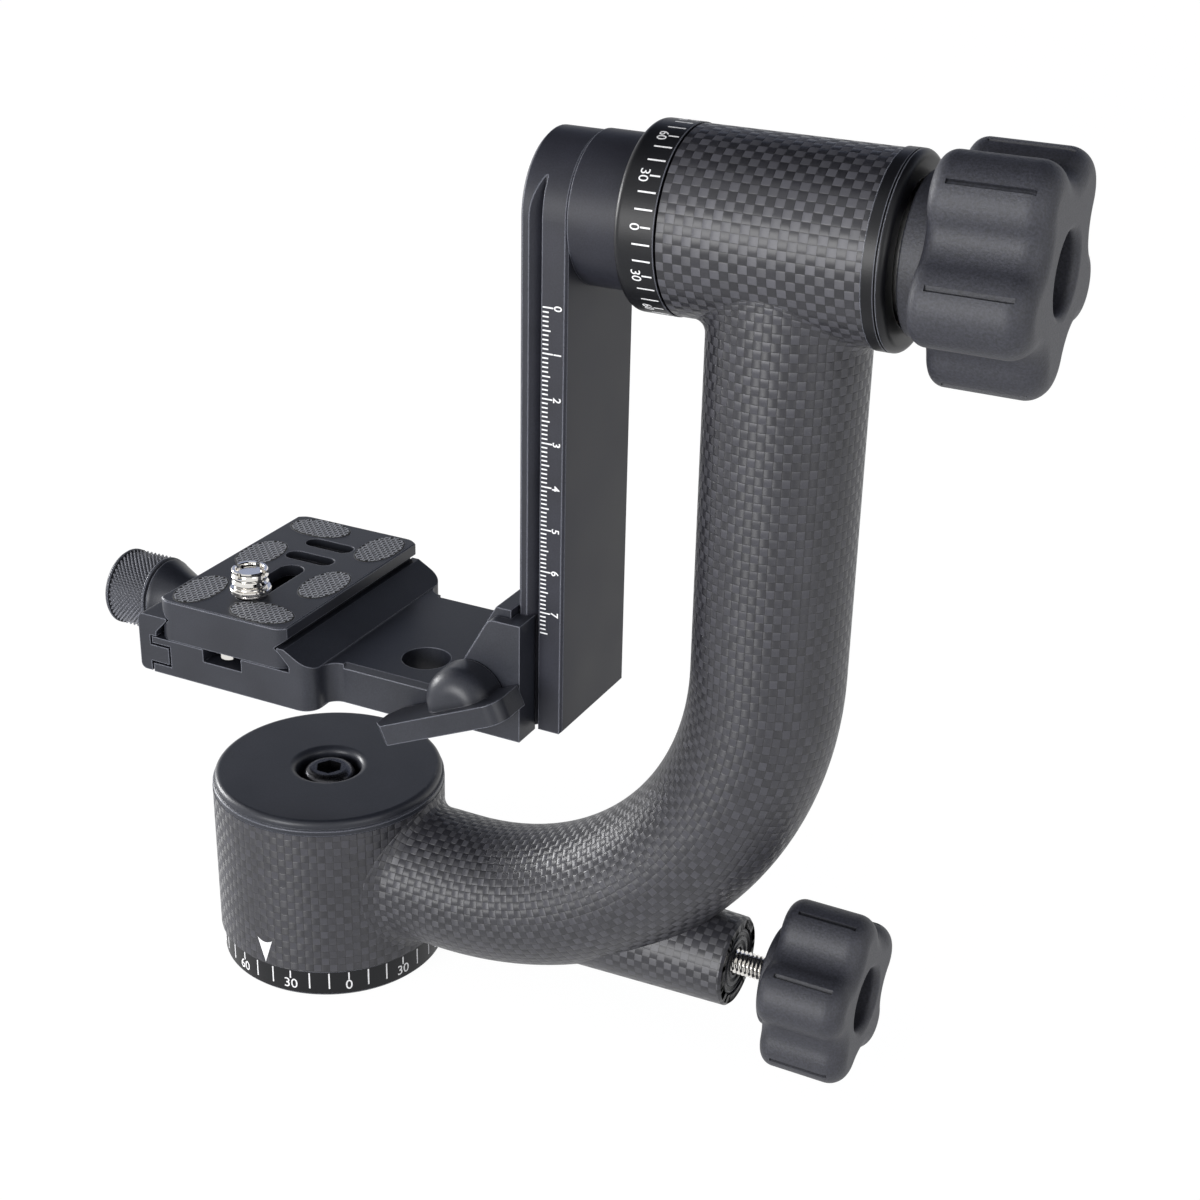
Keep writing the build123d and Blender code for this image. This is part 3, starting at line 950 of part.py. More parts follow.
def arm_clamp():
    """Jaw that grips the rail, its pins, and the lever with its screw."""
    outer_y = ARM_JAW_Y - ARM_JAW_THICKNESS
    top_x = ARM_JAW_START_X + HEAD_SLOPE * (ARM_JAW_TOP_Z - NECK_TOP_Z)
    right = ARM_FACE_X + GRIP_REACH
    outline = [
        (ARM_JAW_START_X, ARM_JAW_BOTTOM_Z),
        (right, ARM_JAW_BOTTOM_Z),
        (right, ARM_JAW_TOP_Z),
        (top_x, ARM_JAW_TOP_Z),
        (ARM_JAW_START_X, NECK_TOP_Z),
    ]
    jaw = prism_y(outline, outer_y, ARM_JAW_Y)
    shoulder = jaw.edges().filter_by(Axis.Y).group_by(Axis.Z)[-1].sort_by(Axis.X)[0]
    jaw = fillet(shoulder, ARM_JAW_CORNER)
    rail_half = ARM_WIDTH / 2
    bite_start = ARM_FACE_X + RAIL_EDGE + RAIL_GAP * (math.sqrt(2) - 1)
    grip = [
        (ARM_FACE_X, ARM_JAW_Y - 1),
        (right, ARM_JAW_Y - 1),
        (right, right - bite_start - rail_half - RAIL_GAP),
        (bite_start, -rail_half - RAIL_GAP),
        (ARM_FACE_X, -rail_half - RAIL_GAP),
    ]
    jaw += prism_z(grip, ARM_JAW_BOTTOM_Z, ARM_JAW_TOP_Z)
    jaw -= rod_y(LEVER_SCREW_RADIUS + RUNNING_GAP, outer_y - 1, 0, x=LEVER_X, z=LEVER_Z)
    pins = []
    for distance, z in ARM_JAW_PINS:
        x = ARM_FACE_X - distance
        jaw -= rod_y(JAW_PIN_RADIUS + FIT_GAP, outer_y + EDGE, 0, x=x, z=z)
        pins.append(rod_y(JAW_PIN_RADIUS, outer_y + EDGE, HEAD_NEAR_Y + JAW_PIN_DEPTH, x=x, z=z))

    dome = Cylinder(LEVER_DOME_RADIUS, LEVER_DOME_HEIGHT, align=ALIGN_UP)
    dome = Pos(LEVER_X, LEVER_Y, LEVER_Z) * Rot(90, 0, 0) * dome
    dome = fillet(dome.edges().sort_by(Axis.Y)[0], LEVER_DOME_ROUND)
    low = -LEVER_DROP - LEVER_THICKNESS / 2
    high = -LEVER_DROP + LEVER_THICKNESS / 2
    handle = block((-LEVER_LONG, LEVER_SHORT), (-LEVER_END, -LEVER_START), (low, high))
    handle = chamfer(handle.edges().filter_by(Axis.Z).group_by(Axis.X)[0], LEVER_BEVEL)
    handle = fillet(handle.edges().filter_by(Axis.Z).group_by(Axis.X)[-1].sort_by(Axis.Y)[0], LEVER_CORNER)
    pivot = Pos(LEVER_X, LEVER_Y, LEVER_Z) * Rot(0, -LEVER_TURN, 0)
    over = block(
        (-LEVER_DOME_RADIUS - 1, LEVER_DOME_RADIUS + 1),
        (-LEVER_DOME_HEIGHT - 1, 1),
        (low, LEVER_DOME_RADIUS + 1),
    )
    lever = dome & (pivot * over)
    lever += pivot * handle
    screw_start = LEVER_Y - LEVER_DOME_HEIGHT / 2
    lever -= rod_y(LEVER_SCREW_RADIUS + FIT_GAP, screw_start, 0, x=LEVER_X, z=LEVER_Z)
    screw = rod_y(LEVER_SCREW_RADIUS, screw_start, HEAD_NEAR_Y + LEVER_SCREW_DEPTH, x=LEVER_X, z=LEVER_Z)
    return {"arm_jaw": jaw, "arm_jaw_pins": pins, "clamp_lever": lever, "lever_screw": screw}


def plate_clamp():
    """Moving jaw of the quick release clamp, its pins, screw and knob."""
    half = PLATE_LENGTH / 2
    outer = QR_JAW_X - QR_JAW_THICKNESS
    inner = jaw_profile(-1)
    outline = [(outer, QR_JAW_BOTTOM_Z), (outer, JAW_TOP_Z)] + inner
    outline += [(inner[-1][0], CLAMP_SEAT_Z + SLIDE_GAP), (QR_JAW_X, CLAMP_SEAT_Z + SLIDE_GAP)]
    outline += [(QR_JAW_X, QR_JAW_BOTTOM_Z)]
    jaw = prism_y(outline, -half, half)
    outer_edges = jaw.edges().filter_by(Axis.Y).group_by(Axis.X)[0]
    jaw = fillet(outer_edges, QR_JAW_ROUND)
    jaw += block(
        (QR_JAW_X - 1, PLATFORM_X - CLAMP_LEFT + TONGUE_LENGTH - QR_SEAM),
        (-half, half),
        (TONGUE_Z - TONGUE_HEIGHT / 2, TONGUE_Z + TONGUE_HEIGHT / 2),
    )
    jaw -= rod_x(QR_SCREW_RADIUS + RUNNING_GAP, outer - 1, PLATFORM_X, z=QR_SCREW_Z)
    pin_start = outer + GUIDE_PIN_INSET
    pins = []
    for side in (-1, 1):
        y = side * GUIDE_PIN_Y
        jaw -= rod_x(GUIDE_PIN_RADIUS + FIT_GAP, pin_start, PLATFORM_X, y=y, z=TONGUE_Z)
        pins.append(rod_x(GUIDE_PIN_RADIUS, pin_start, pin_start + GUIDE_PIN_LENGTH, y=y, z=TONGUE_Z))

    barrel_start = QR_KNOB_NECK + QR_KNOB_SHOULDER
    barrel_end = barrel_start + QR_KNOB_LENGTH
    knob = turned(
        [
            (0, 0),
            (QR_KNOB_NECK_RADIUS, 0),
            (QR_KNOB_NECK_RADIUS, QR_KNOB_NECK),
            (QR_KNOB_RADIUS - EDGE, barrel_start - EDGE),
            (QR_KNOB_RADIUS, barrel_start),
            (QR_KNOB_RADIUS, barrel_end - QR_KNOB_EDGE),
            (QR_KNOB_RADIUS - QR_KNOB_EDGE, barrel_end),
            (0, barrel_end),
        ]
    )
    knob = Pos(QR_NECK_X, 0, QR_SCREW_Z) * Rot(0, -90, 0) * knob
    screw_start = QR_NECK_X - barrel_start
    knob -= rod_x(QR_SCREW_RADIUS + FIT_GAP, screw_start, 0, z=QR_SCREW_Z)
    screw = rod_x(QR_SCREW_RADIUS, screw_start, QR_NECK_X + QR_SCREW_LENGTH, z=QR_SCREW_Z)
    return {"qr_jaw": jaw, "qr_guide_pins": pins, "qr_knob": knob, "qr_screw": screw}


def camera_plate():
    """Dovetail plate with its pads and stop screws."""
    half = PLATE_LENGTH / 2
    top_half = PLATE_TOP_WIDTH / 2
    foot = PLATE_WIDTH / 2
    right = [
        (foot, 0),
        (foot, PLATE_FOOT),
        (foot - DOVETAIL_DEPTH, DOVETAIL_WAIST),
        (top_half, PLATE_LIP),
        (top_half, PLATE_HEIGHT),
    ]
    left = [(-x, z) for x, z in reversed(right)]
    plate = Pos(PLATFORM_X, 0, PLATE_Z) * prism_y(right + left, -half, half)
    rounded = Pos(PLATFORM_X, 0, PLATE_Z) * extrude(
        RectangleRounded(PLATE_WIDTH, PLATE_LENGTH, PLATE_CORNER), amount=PLATE_HEIGHT
    )
    plate &= rounded
    plate = chamfer(plate.faces().sort_by(Axis.Z)[-1].edges(), EDGE / 2)

    for y in (SLOT_FAR_Y, SLOT_FAR_Y - SLOT_SPACING):
        plate -= slot_z(SLOT_LONG, SLOT_WIDE, PLATE_TOP_Z - SLOT_DEPTH, PLATE_TOP_Z + 1, PLATFORM_X, y)
        plate -= slot_z(SLOT_LONG - 2 * SLOT_LEDGE, SLOT_WIDE - 2 * SLOT_LEDGE, 0, PLATE_TOP_Z, PLATFORM_X, y)
    slot_start = SCREW_SLOT_INSET - half
    slot_y = (slot_start + SCREW_SLOT_END_Y) / 2
    slot_length = SCREW_SLOT_END_Y - slot_start
    plate -= slot_z(slot_length, SCREW_SLOT_WIDTH, 0, PLATE_TOP_Z + 1, PLATFORM_X, slot_y, 90)
    plate -= block(
        (PLATFORM_X - POCKET_WIDTH / 2, PLATFORM_X + POCKET_WIDTH / 2),
        (POCKET_INSET - half, POCKET_END_Y),
        (0, PLATE_TOP_Z - SCREW_WEB),
    )

    pads = []
    for x, y, turn in (
        (PAD_SIDE_X, half - PAD_SIDE_FAR_INSET, 90),
        (PAD_SIDE_X, -PAD_SIDE_NEAR_Y, 90),
        (PAD_END_X, PAD_END_INSET - half, 0),
    ):
        for side in (-1, 1):
            where = Pos(PLATFORM_X + side * x, side * y, PLATE_TOP_Z - PAD_RECESS) * Rot(0, 0, turn)
            plate -= where * extrude(Ellipse(PAD_LONG, PAD_SHORT), amount=PLATE_HEIGHT)
            pad = extrude(Ellipse(PAD_LONG - FIT_GAP, PAD_SHORT - FIT_GAP), amount=PAD_RECESS + PAD_PROUD)
            pads.append(where * pad)

    stop = Rot(180, 0, 0) * socket_screw(
        PLATE_STOP_RADIUS,
        PLATE_STOP_LENGTH,
        PLATE_STOP_HEAD_RADIUS,
        PLATE_STOP_HEAD_HEIGHT,
        2 * PLATE_STOP_RADIUS,
    )
    stops = []
    for side in (-1, 1):
        y = side * (half - PLATE_STOP_INSET)
        hole_end = PLATE_Z + PLATE_STOP_LENGTH + FIT_GAP
        plate -= rod_z(PLATE_STOP_RADIUS + FIT_GAP, 0, hole_end, x=PLATFORM_X, y=y)
        stops.append(Pos(PLATFORM_X, y, PLATE_Z) * stop)
    return {"qr_plate": plate, "plate_pads": pads, "plate_stop_screws": stops}


def camera_screw():
    """Retainer that slides in the plate, and the camera screw with its thread adapter."""
    web_z = PLATE_TOP_Z - SCREW_WEB
    half_pocket = POCKET_WIDTH / 2 - SLIDE_GAP
    retainer_z = web_z - SLIDE_GAP - RETAINER_HEIGHT
    retainer = block(
        (PLATFORM_X - half_pocket, PLATFORM_X + half_pocket),
        (CAMERA_SCREW_Y - RETAINER_LENGTH / 2, CAMERA_SCREW_Y + RETAINER_LENGTH / 2),
        (retainer_z, retainer_z + RETAINER_HEIGHT),
    )
    axis = Pos(PLATFORM_X, CAMERA_SCREW_Y, 0)
    retainer -= axis * rod_z(CAMERA_SCREW_RADIUS + RUNNING_GAP, 0, PLATE_TOP_Z)

    head_z = retainer_z - RUNNING_GAP
    screw = rod_z(CAMERA_SCREW_RADIUS, head_z, PLATE_TOP_Z + CAMERA_SCREW_TOP)
    screw = chamfer(screw.edges().sort_by(Axis.Z)[-1], EDGE)
    screw += rod_z(CAMERA_HEAD_RADIUS, head_z - CAMERA_HEAD_HEIGHT, head_z)
    screw -= hexagon_z(CAMERA_HEAD_RADIUS, 0, head_z - CAMERA_HEAD_HEIGHT / 2)

    collar_low = PLATE_TOP_Z + ADAPTER_COLLAR_START
    collar_high = PLATE_TOP_Z + ADAPTER_COLLAR_END
    top = PLATE_TOP_Z + ADAPTER_TOP
    barrel = rod_z(ADAPTER_RADIUS, collar_high, top)
    barrel = chamfer(barrel.edges().sort_by(Axis.Z)[-1], EDGE)
    collar = rod_z(ADAPTER_COLLAR_RADIUS, collar_low, collar_high)
    collar = chamfer(collar.edges(), EDGE / 2)
    adapter = rod_z(ADAPTER_ROOT_RADIUS, PLATE_TOP_Z + SLIDE_GAP, collar_low) + collar + barrel
    adapter -= rod_z(CAMERA_SCREW_RADIUS + FIT_GAP, 0, top + 1)
    for spans in ((ADAPTER_RADIUS, ADAPTER_SLOT_WIDTH / 2), (ADAPTER_SLOT_WIDTH / 2, ADAPTER_RADIUS)):
        adapter -= block((-spans[0], spans[0]), (-spans[1], spans[1]), (top - ADAPTER_SLOT_DEPTH, top + 1))
    return {
        "screw_retainer": retainer,
        "camera_screw": axis * screw,
        "thread_adapter": axis * adapter,
    }


# ---- parts ----------------------------------------------------------------------------------


def all_parts():
    """Every named part, as one solid or as a list of separate solids."""
    parts = {}
    for group in (
        pan_base,
        pan_housing,
        carbon_tube,
        tilt_housing,
        pan_lock,
        swing_arm,
        tilt_lock,
        platform_body,
        arm_clamp,
        plate_clamp,
        camera_plate,
        camera_screw,
    ):
        parts.update(group())
    return parts


os.makedirs("parts", exist_ok=True)
for name, shape in all_parts().items():
    solids = shape if isinstance(shape, list) else shape.solids()
    export_step(Compound(children=solids), os.path.join("parts", name + ".step"))
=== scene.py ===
"""Looks of a gimbal tripod head: its finishes, engraved scales, weave, knurl and threads."""
import logging
import math
from collections.abc import Callable, Iterable
from dataclasses import dataclass, field
from enum import Enum
from functools import partial

import bmesh
import bpy
from mathutils import Matrix, Vector


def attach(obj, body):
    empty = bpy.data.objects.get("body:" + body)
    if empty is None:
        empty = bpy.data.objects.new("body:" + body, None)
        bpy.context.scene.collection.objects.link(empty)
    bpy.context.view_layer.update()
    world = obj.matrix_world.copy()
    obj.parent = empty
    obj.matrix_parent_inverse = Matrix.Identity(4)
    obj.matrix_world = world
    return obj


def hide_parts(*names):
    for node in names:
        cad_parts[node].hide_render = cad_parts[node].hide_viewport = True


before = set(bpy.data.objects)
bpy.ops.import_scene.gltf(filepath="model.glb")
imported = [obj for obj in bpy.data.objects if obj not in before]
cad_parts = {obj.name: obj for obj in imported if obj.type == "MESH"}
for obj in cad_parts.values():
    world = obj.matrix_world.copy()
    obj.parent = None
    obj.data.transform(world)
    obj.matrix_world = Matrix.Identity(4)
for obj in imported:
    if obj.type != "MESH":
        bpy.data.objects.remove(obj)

Node = bpy.types.Node
Piece = bpy.types.Object
Socket = bpy.types.NodeSocket
Tree = bpy.types.NodeTree
Outline = tuple[tuple[float, float], ...]
Spot = tuple[float, float, float]

# A millimetre in metres, the distance in metres below which points are joined, and the height of
# a numeral as a share of its type size.
MM = 0.001
DOUBLES = 1e-7
CAPITAL = 0.7
LOG = logging.getLogger("gimbal head")

# Node types that come back often.
MIX = "ShaderNodeMix"
NOISE = "ShaderNodeTexNoise"
RANGE = "ShaderNodeMapRange"
SKIN = "ShaderNodeBsdfPrincipled"
VECTOR = "ShaderNodeCombineXYZ"
VECTOR_MATH = "ShaderNodeVectorMath"


# ---- node and colour helpers ----


def linear(colour: str) -> tuple[float, float, float, float]:
    """Turns an sRGB colour into linear light.

    Args:
        colour: "#rrggbb".

    Returns:
        Linear red, green and blue, and an alpha of one.
    """
    channels = [int(colour[place:place + 2], 16) / 255 for place in (1, 3, 5)]
    light = [c / 12.92 if c <= 0.04045 else ((c + 0.055) / 1.055) ** 2.4 for c in channels]
    return (light[0], light[1], light[2], 1.0)


def add(tree: Tree, kind: str, inputs: dict | list | None = None, **settings) -> Node:
    """Adds a node with its settings and links.

    Args:
        tree: Node tree that gets the node.
        kind: Node type, or in small letters the operation of a maths node.
        inputs: Values by socket name or number, or a list of them in order. A value may also be
            a socket, or a node whose first output is linked.
        settings: Properties set on the node.

    Returns:
        The new node.
    """
    if kind.islower():
        kind, settings["operation"] = "ShaderNodeMath", kind.upper()
    node = tree.nodes.new(kind)
    for name, value in settings.items():
        setattr(node, name, value)
    for key, value in inputs.items() if isinstance(inputs, dict) else enumerate(inputs or []):
        if isinstance(value, Node):
            value = value.outputs[0]
        if isinstance(value, Socket):
            tree.links.new(value, node.inputs[key])
        else:
            node.inputs[key].default_value = value
    return node


def emptied(owner: bpy.types.Material | bpy.types.World) -> Tree:
    """Switches on the nodes of a material or world and empties them.

    Args:
        owner: The material or world.

    Returns:
        Its empty node tree.
    """
    owner.use_nodes = True
    owner.node_tree.nodes.clear()
    return owner.node_tree


# ---- finishes ----


@dataclass(frozen=True)
class Finish:
    """A surface finish. Sizes are in millimetres."""

    name: str

    def material(self) -> bpy.types.Material:
        """Makes the material, or returns the one already made.

        Returns:
            The material of this finish.
        """
        made = bpy.data.materials.get(self.name)
        if made is None:
            made = bpy.data.materials.new(self.name)
            tree = emptied(made)
            add(tree, "ShaderNodeOutputMaterial", {"Surface": self.shade(tree)})
        return made

    def shade(self, tree: Tree) -> Node:
        """Builds the nodes. Each finish has its own.

        Args:
            tree: The material's empty node tree.

        Returns:
            The shader node.
        """
        raise NotImplementedError


@dataclass(frozen=True)
class TwoTone(Finish):
    """A finish whose colour lies between a dark and a light tone."""

    dark: str
    light: str

    def tone(self, tree: Tree, share: Node) -> Socket:
        """Mixes the two tones by a share that is one for the light tone."""
        tones = {"Factor": share, 6: linear(self.dark), 7: linear(self.light)}
        return add(tree, MIX, tones, data_type="RGBA").outputs[2]

    def pattern(self, tree: Tree, kind: str, size: float, **inputs: float) -> Node:
        """Adds a texture that is fixed to the piece.

        Args:
            tree: The material's node tree.
            kind: Node type of the texture.
            size: Size of one feature in millimetres.
            inputs: The texture's other inputs.

        Returns:
            The texture node.
        """
        place = add(tree, "ShaderNodeTexCoord").outputs["Object"]
        return add(tree, kind, {"Vector": place, "Scale": 1 / (size * MM), **inputs})


@dataclass(frozen=True)
class BlastedAnodising(TwoTone):
    """Aluminium, bead blasted and then anodised black: a dark satin skin with a fine even grain.

    The real grain is near 0.05 mm and is drawn at 0.3 mm so that it shows.
    """

    dark: str = "#202229"
    light: str = "#2d2f37"
    # Colour of the painted highlight along convex edges.
    edge: str = "#8c8f9b"
    roughness: float = 0.38
    gloss: float = 0.36
    grain: float = 0.3
    cloud: float = 14.0
    edge_width: float = 0.4
    # Reach in millimetres of the ambient occlusion that paints shade into creases and keeps the painted edge
    # highlight off concave edges.
    crease: float = 1.6

    def shade(self, tree: Tree) -> Node:
        """Builds the blasted skin, with a painted highlight on its edges and painted shade in its creases.

        Args:
            tree: The material's empty node tree.

        Returns:
            The shader node.
        """
        grain = self.pattern(tree, NOISE, self.grain, Detail=2.0)
        cloud = self.pattern(tree, NOISE, self.cloud, Detail=3.0)
        spread = add(tree, "multiply", [grain, cloud])
        share = add(tree, RANGE, {"Value": spread, "From Min": 0.1, "From Max": 0.4})
        ends = {"To Min": self.roughness - 0.05, "To Max": self.roughness + 0.07}
        rough = add(tree, RANGE, {"Value": cloud, **ends})
        # Painted highlight: where the rounded normal turns away from the flat normal, on open convex edges,
        # the colour goes towards the edge colour.
        rounded = add(tree, "ShaderNodeBevel", {"Radius": self.edge_width * MM}, samples=4)
        flat = add(tree, "ShaderNodeNewGeometry").outputs["Normal"]
        agree = add(tree, VECTOR_MATH, {0: rounded, 1: flat}, operation="DOT_PRODUCT").outputs["Value"]
        edge_highlight = add(tree, RANGE, {"Value": agree, "From Min": 0.99, "From Max": 0.9, "To Max": 0.9})
        reach = {"Distance": self.crease * MM}
        near = add(tree, "ShaderNodeAmbientOcclusion", reach, samples=4, only_local=True).outputs["AO"]
        open_edge = add(tree, RANGE, {"Value": near, "From Min": 0.6, "From Max": 0.92})
        line = add(tree, "multiply", [edge_highlight, open_edge])
        # Painted shade: the colour darkens where ambient occlusion finds a crease, corner or seam.
        depth = add(tree, RANGE, {"Value": near, "From Min": 0.15, "From Max": 0.9, "To Min": 0.3})
        sunk = add(tree, VECTOR_MATH, {0: self.tone(tree, share), 3: depth}, operation="SCALE")
        # The painted edge highlight is laid over the shaded colour.
        highlighted = add(tree, MIX, {"Factor": line, 6: sunk, 7: linear(self.edge)}, data_type="RGBA")
        dents = {"Height": grain, "Strength": 0.6, "Distance": 0.025 * MM, "Normal": rounded}
        look = {"Roughness": rough, "Specular IOR Level": self.gloss}
        bump = add(tree, "ShaderNodeBump", dents)
        return add(tree, SKIN, {"Base Color": highlighted.outputs[2], "Normal": bump, **look})


class Lay(Enum):
    """How a carbon weave lies: the two axes that it goes round, then the one that it runs along."""

    AROUND_Z = ("X", "Y", "Z")
    AROUND_X = ("Y", "Z", "X")
    UNROLLED = ("U", "V", "")


@dataclass(frozen=True)
class CarbonWeave(Finish):
    """Carbon laminate of plain woven tows under a satin clear coat: small squares that swap direction."""

    lay: Lay = Lay.UNROLLED
    centre: tuple[float, float] = (0.0, 0.0)
    radius: float = 17.3
    tow: float = 2.0
    # Warp tows are coloured lighter than weft tows as painted sheen of their different reflection.
    warp: str = "#37373d"
    weft: str = "#2b2b30"
    gap: str = "#0b0b0d"
    relief: float = 0.16
    roughness: float = 0.42
    coat: float = 0.08

    def tows(self, tree: Tree) -> tuple[Node, Node, Node]:
        """Builds the two coordinates, counted in tows, and the direction round the piece.

        Args:
            tree: The material's node tree.

        Returns:
            Nodes that give the tows round, the tows along and the direction round.
        """
        count = 2 * round(math.pi * self.radius / self.tow)
        if self.lay is Lay.UNROLLED:
            parts = add(tree, "ShaderNodeSeparateXYZ", {0: add(tree, "ShaderNodeUVMap", uv_map="lay")})
            turn = add(tree, "multiply", [parts.outputs["X"], count])
            along_axis = parts.outputs["Y"]
            sideways = add(tree, "ShaderNodeTangent", direction_type="UV_MAP", uv_map="lay")
        else:
            *ways, axis = self.lay.value
            place = add(tree, "ShaderNodeTexCoord").outputs["Object"]
            parts = add(tree, "ShaderNodeSeparateXYZ", {0: place})
            near, side = (
                add(tree, "subtract", [parts.outputs[way], middle * MM])
                for way, middle in zip(ways, self.centre)
            )
            angle = add(tree, "arctan2", [side, near])
            turn = add(tree, "multiply", [angle, count / math.tau])
            along_axis = parts.outputs[axis]
            ahead = add(
                tree, "ShaderNodeVectorTransform",
                {"Vector": (float(axis == "X"), 0.0, float(axis == "Z"))},
                vector_type="VECTOR", convert_from="OBJECT", convert_to="WORLD"
            )
            flat = add(tree, "ShaderNodeNewGeometry").outputs["Normal"]
            sideways = add(tree, VECTOR_MATH, {0: ahead, 1: flat}, operation="CROSS_PRODUCT")
        run = add(tree, "divide", [along_axis, self.tow * MM])
        return turn, run, sideways

    def shade(self, tree: Tree) -> Node:
        """Builds the woven tows and their clear coat.

        Args:
            tree: The material's empty node tree.

        Returns:
            The shader node.
        """
        turn, run, sideways = self.tows(tree)
        cells = [add(tree, "floor", [way]) for way in (turn, run)]
        total = add(tree, "add", cells)
        over = add(tree, "floored_modulo", [total, 2.0])
        squares = []
        for way in (turn, run):
            inside = add(tree, "fract", [way])
            centred = add(tree, "subtract", [inside, 0.5])
            squares.append(add(tree, "multiply", [centred, centred]))
        flat = add(tree, "ShaderNodeNewGeometry").outputs["Normal"]
        lengthways = add(tree, VECTOR_MATH, {0: flat, 1: sideways}, operation="CROSS_PRODUCT")
        grain_way = add(tree, MIX, {"Factor": over, 4: lengthways, 5: sideways}, data_type="VECTOR")
        across, length = (
            add(tree, MIX, {"Factor": over, "A": under, "B": above})
            for under, above in (squares[::-1], squares)
        )
        crown = add(
            tree, RANGE, {"Value": across, "From Min": 0.25, "From Max": 0.15, "To Min": 0.45},
            interpolation_type="SMOOTHSTEP"
        )
        dip = add(tree, "multiply_add", [length, -2.6, 1.0])
        height = add(tree, "multiply", [crown, dip])
        cell = add(tree, VECTOR, cells)
        chance = add(tree, "ShaderNodeTexWhiteNoise", {"Vector": cell}, noise_dimensions="2D")
        tint = add(tree, RANGE, {"Value": chance, "To Min": 0.8, "To Max": 1.2})
        # Painted sheen: the warp and weft tows of one fibre get a lighter and a darker colour.
        tow = add(tree, MIX, {"Factor": over, 6: linear(self.weft), 7: linear(self.warp)}, data_type="RGBA")
        varied = add(tree, VECTOR_MATH, {0: tow.outputs[2], 3: tint}, operation="SCALE")
        full = add(
            tree, RANGE, {"Value": crown, "From Min": 0.45, "From Max": 0.8}, interpolation_type="SMOOTHSTEP"
        )
        colour = add(tree, MIX, {"Factor": full, 6: linear(self.gap), 7: varied}, data_type="RGBA")
        bump = add(tree, "ShaderNodeBump", {"Height": height, "Strength": 0.9, "Distance": self.relief * MM})
        look = {"Roughness": self.roughness, "Specular IOR Level": 0.5, "Anisotropic": 0.8}
        coat = {"Coat Weight": self.coat, "Coat Roughness": 0.4}
        ways = {"Tangent": grain_way.outputs[1], "Normal": bump}
        return add(tree, SKIN, {"Base Color": colour.outputs[2], **look, **coat, **ways})


@dataclass(frozen=True)
class MouldedRubber(TwoTone):
    """Rubber moulded in a spark-eroded tool: matt, dark grey, with a coarse leathery grain."""

    dark: str = "#212228"
    light: str = "#33343d"
    grain: float = 0.5
    relief: float = 0.12
    shade_reach: float = 8.0

    def shade(self, tree: Tree) -> Node:
        """Builds the grained skin, with painted shade between the lobes.

        Args:
            tree: The material's empty node tree.

        Returns:
            The shader node.
        """
        grain = self.pattern(tree, NOISE, self.grain, Detail=3.0, Roughness=0.6)
        share = add(tree, RANGE, {"Value": grain, "From Min": 0.35, "From Max": 0.65})
        # Painted shade: ambient occlusion darkens the colour between the lobes and in other hollows.
        reach = {"Distance": self.shade_reach * MM}
        near = add(tree, "ShaderNodeAmbientOcclusion", reach, samples=4).outputs["AO"]
        depth = add(tree, RANGE, {"Value": near, "From Min": 0.1, "From Max": 0.75, "To Min": 0.15})
        sunk = add(tree, VECTOR_MATH, {0: self.tone(tree, share), 3: depth}, operation="SCALE")
        bump = add(tree, "ShaderNodeBump", {"Height": grain, "Strength": 0.7, "Distance": self.relief * MM})
        return add(tree, SKIN, {"Base Color": sunk, "Roughness": 0.55, "Normal": bump})


@dataclass(frozen=True)
class Steel(TwoTone):
    """Steel, turned or ground: bright metal with fine tool lines, spaced here so that they show."""

    dark: str = "#c2bab0"
    light: str = "#e6dfd6"
    roughness: float = 0.22
    line: float = 0.25
    cloud: float = 4.0

    def shade(self, tree: Tree) -> Node:
        """Builds the bright metal.

        Args:
            tree: The material's empty node tree.

        Returns:
            The shader node.
        """
        lines = self.pattern(tree, NOISE, self.line, Detail=2.0)
        colour = self.tone(tree, self.pattern(tree, NOISE, self.cloud, Detail=2.0))
        ends = {"To Min": self.roughness * 0.8, "To Max": self.roughness * 1.4}
        rough = add(tree, RANGE, {"Value": lines, **ends})
        return add(tree, SKIN, {"Base Color": colour, "Metallic": 1.0, "Roughness": rough})


@dataclass(frozen=True)
class WovenLining(TwoTone):
    """Moulded friction lining: matt brown-grey compound with flecks of brass and fibre."""

    dark: str = "#4b4239"
    light: str = "#8a7350"
    fleck: float = 0.6

    def shade(self, tree: Tree) -> Node:
        """Builds the flecked compound.

        Args:
            tree: The material's empty node tree.

        Returns:
            The shader node.
        """
        flecks = self.pattern(tree, "ShaderNodeTexVoronoi", self.fleck)
        ends = {"From Min": 0.18, "From Max": 0.25, "To Min": 1.0, "To Max": 0.0}
        mask = add(tree, RANGE, {"Value": flecks, **ends})
        return add(tree, SKIN, {"Base Color": self.tone(tree, mask), "Roughness": 0.8})


@dataclass(frozen=True)
class FilledEnamel(TwoTone):
    """White enamel wiped into engraved lines: nearly flat white with slightly worn tone."""

    dark: str = "#dadade"
    light: str = "#f4f4f5"
    wear: float = 0.8

    def shade(self, tree: Tree) -> Node:
        """Builds the enamel as a nearly flat white."""
        colour = self.tone(tree, self.pattern(tree, NOISE, self.wear, Detail=2.0))
        return add(tree, SKIN, {"Base Color": colour, "Roughness": 0.5})


ANODISED = BlastedAnodising("anodised_aluminium_blasted")
ANODISED_ARM = BlastedAnodising("anodised_aluminium_arm", "#1e1f26", "#2a2b34", roughness=0.46, gloss=0.28)
ANODISED_DIAL = BlastedAnodising("anodised_aluminium_dial", "#0c0c0f", "#141519", gloss=0.25)
# The knurl is the same black anodising, coloured much lighter as painted sheen of its many facets, with a
# painted highlight on their edges.
KNURL_SHEEN = BlastedAnodising("anodised_aluminium_knurl_painted_sheen", "#5e6069", "#7a7c85", "#b4b6be")
RUBBER = MouldedRubber("moulded_rubber")
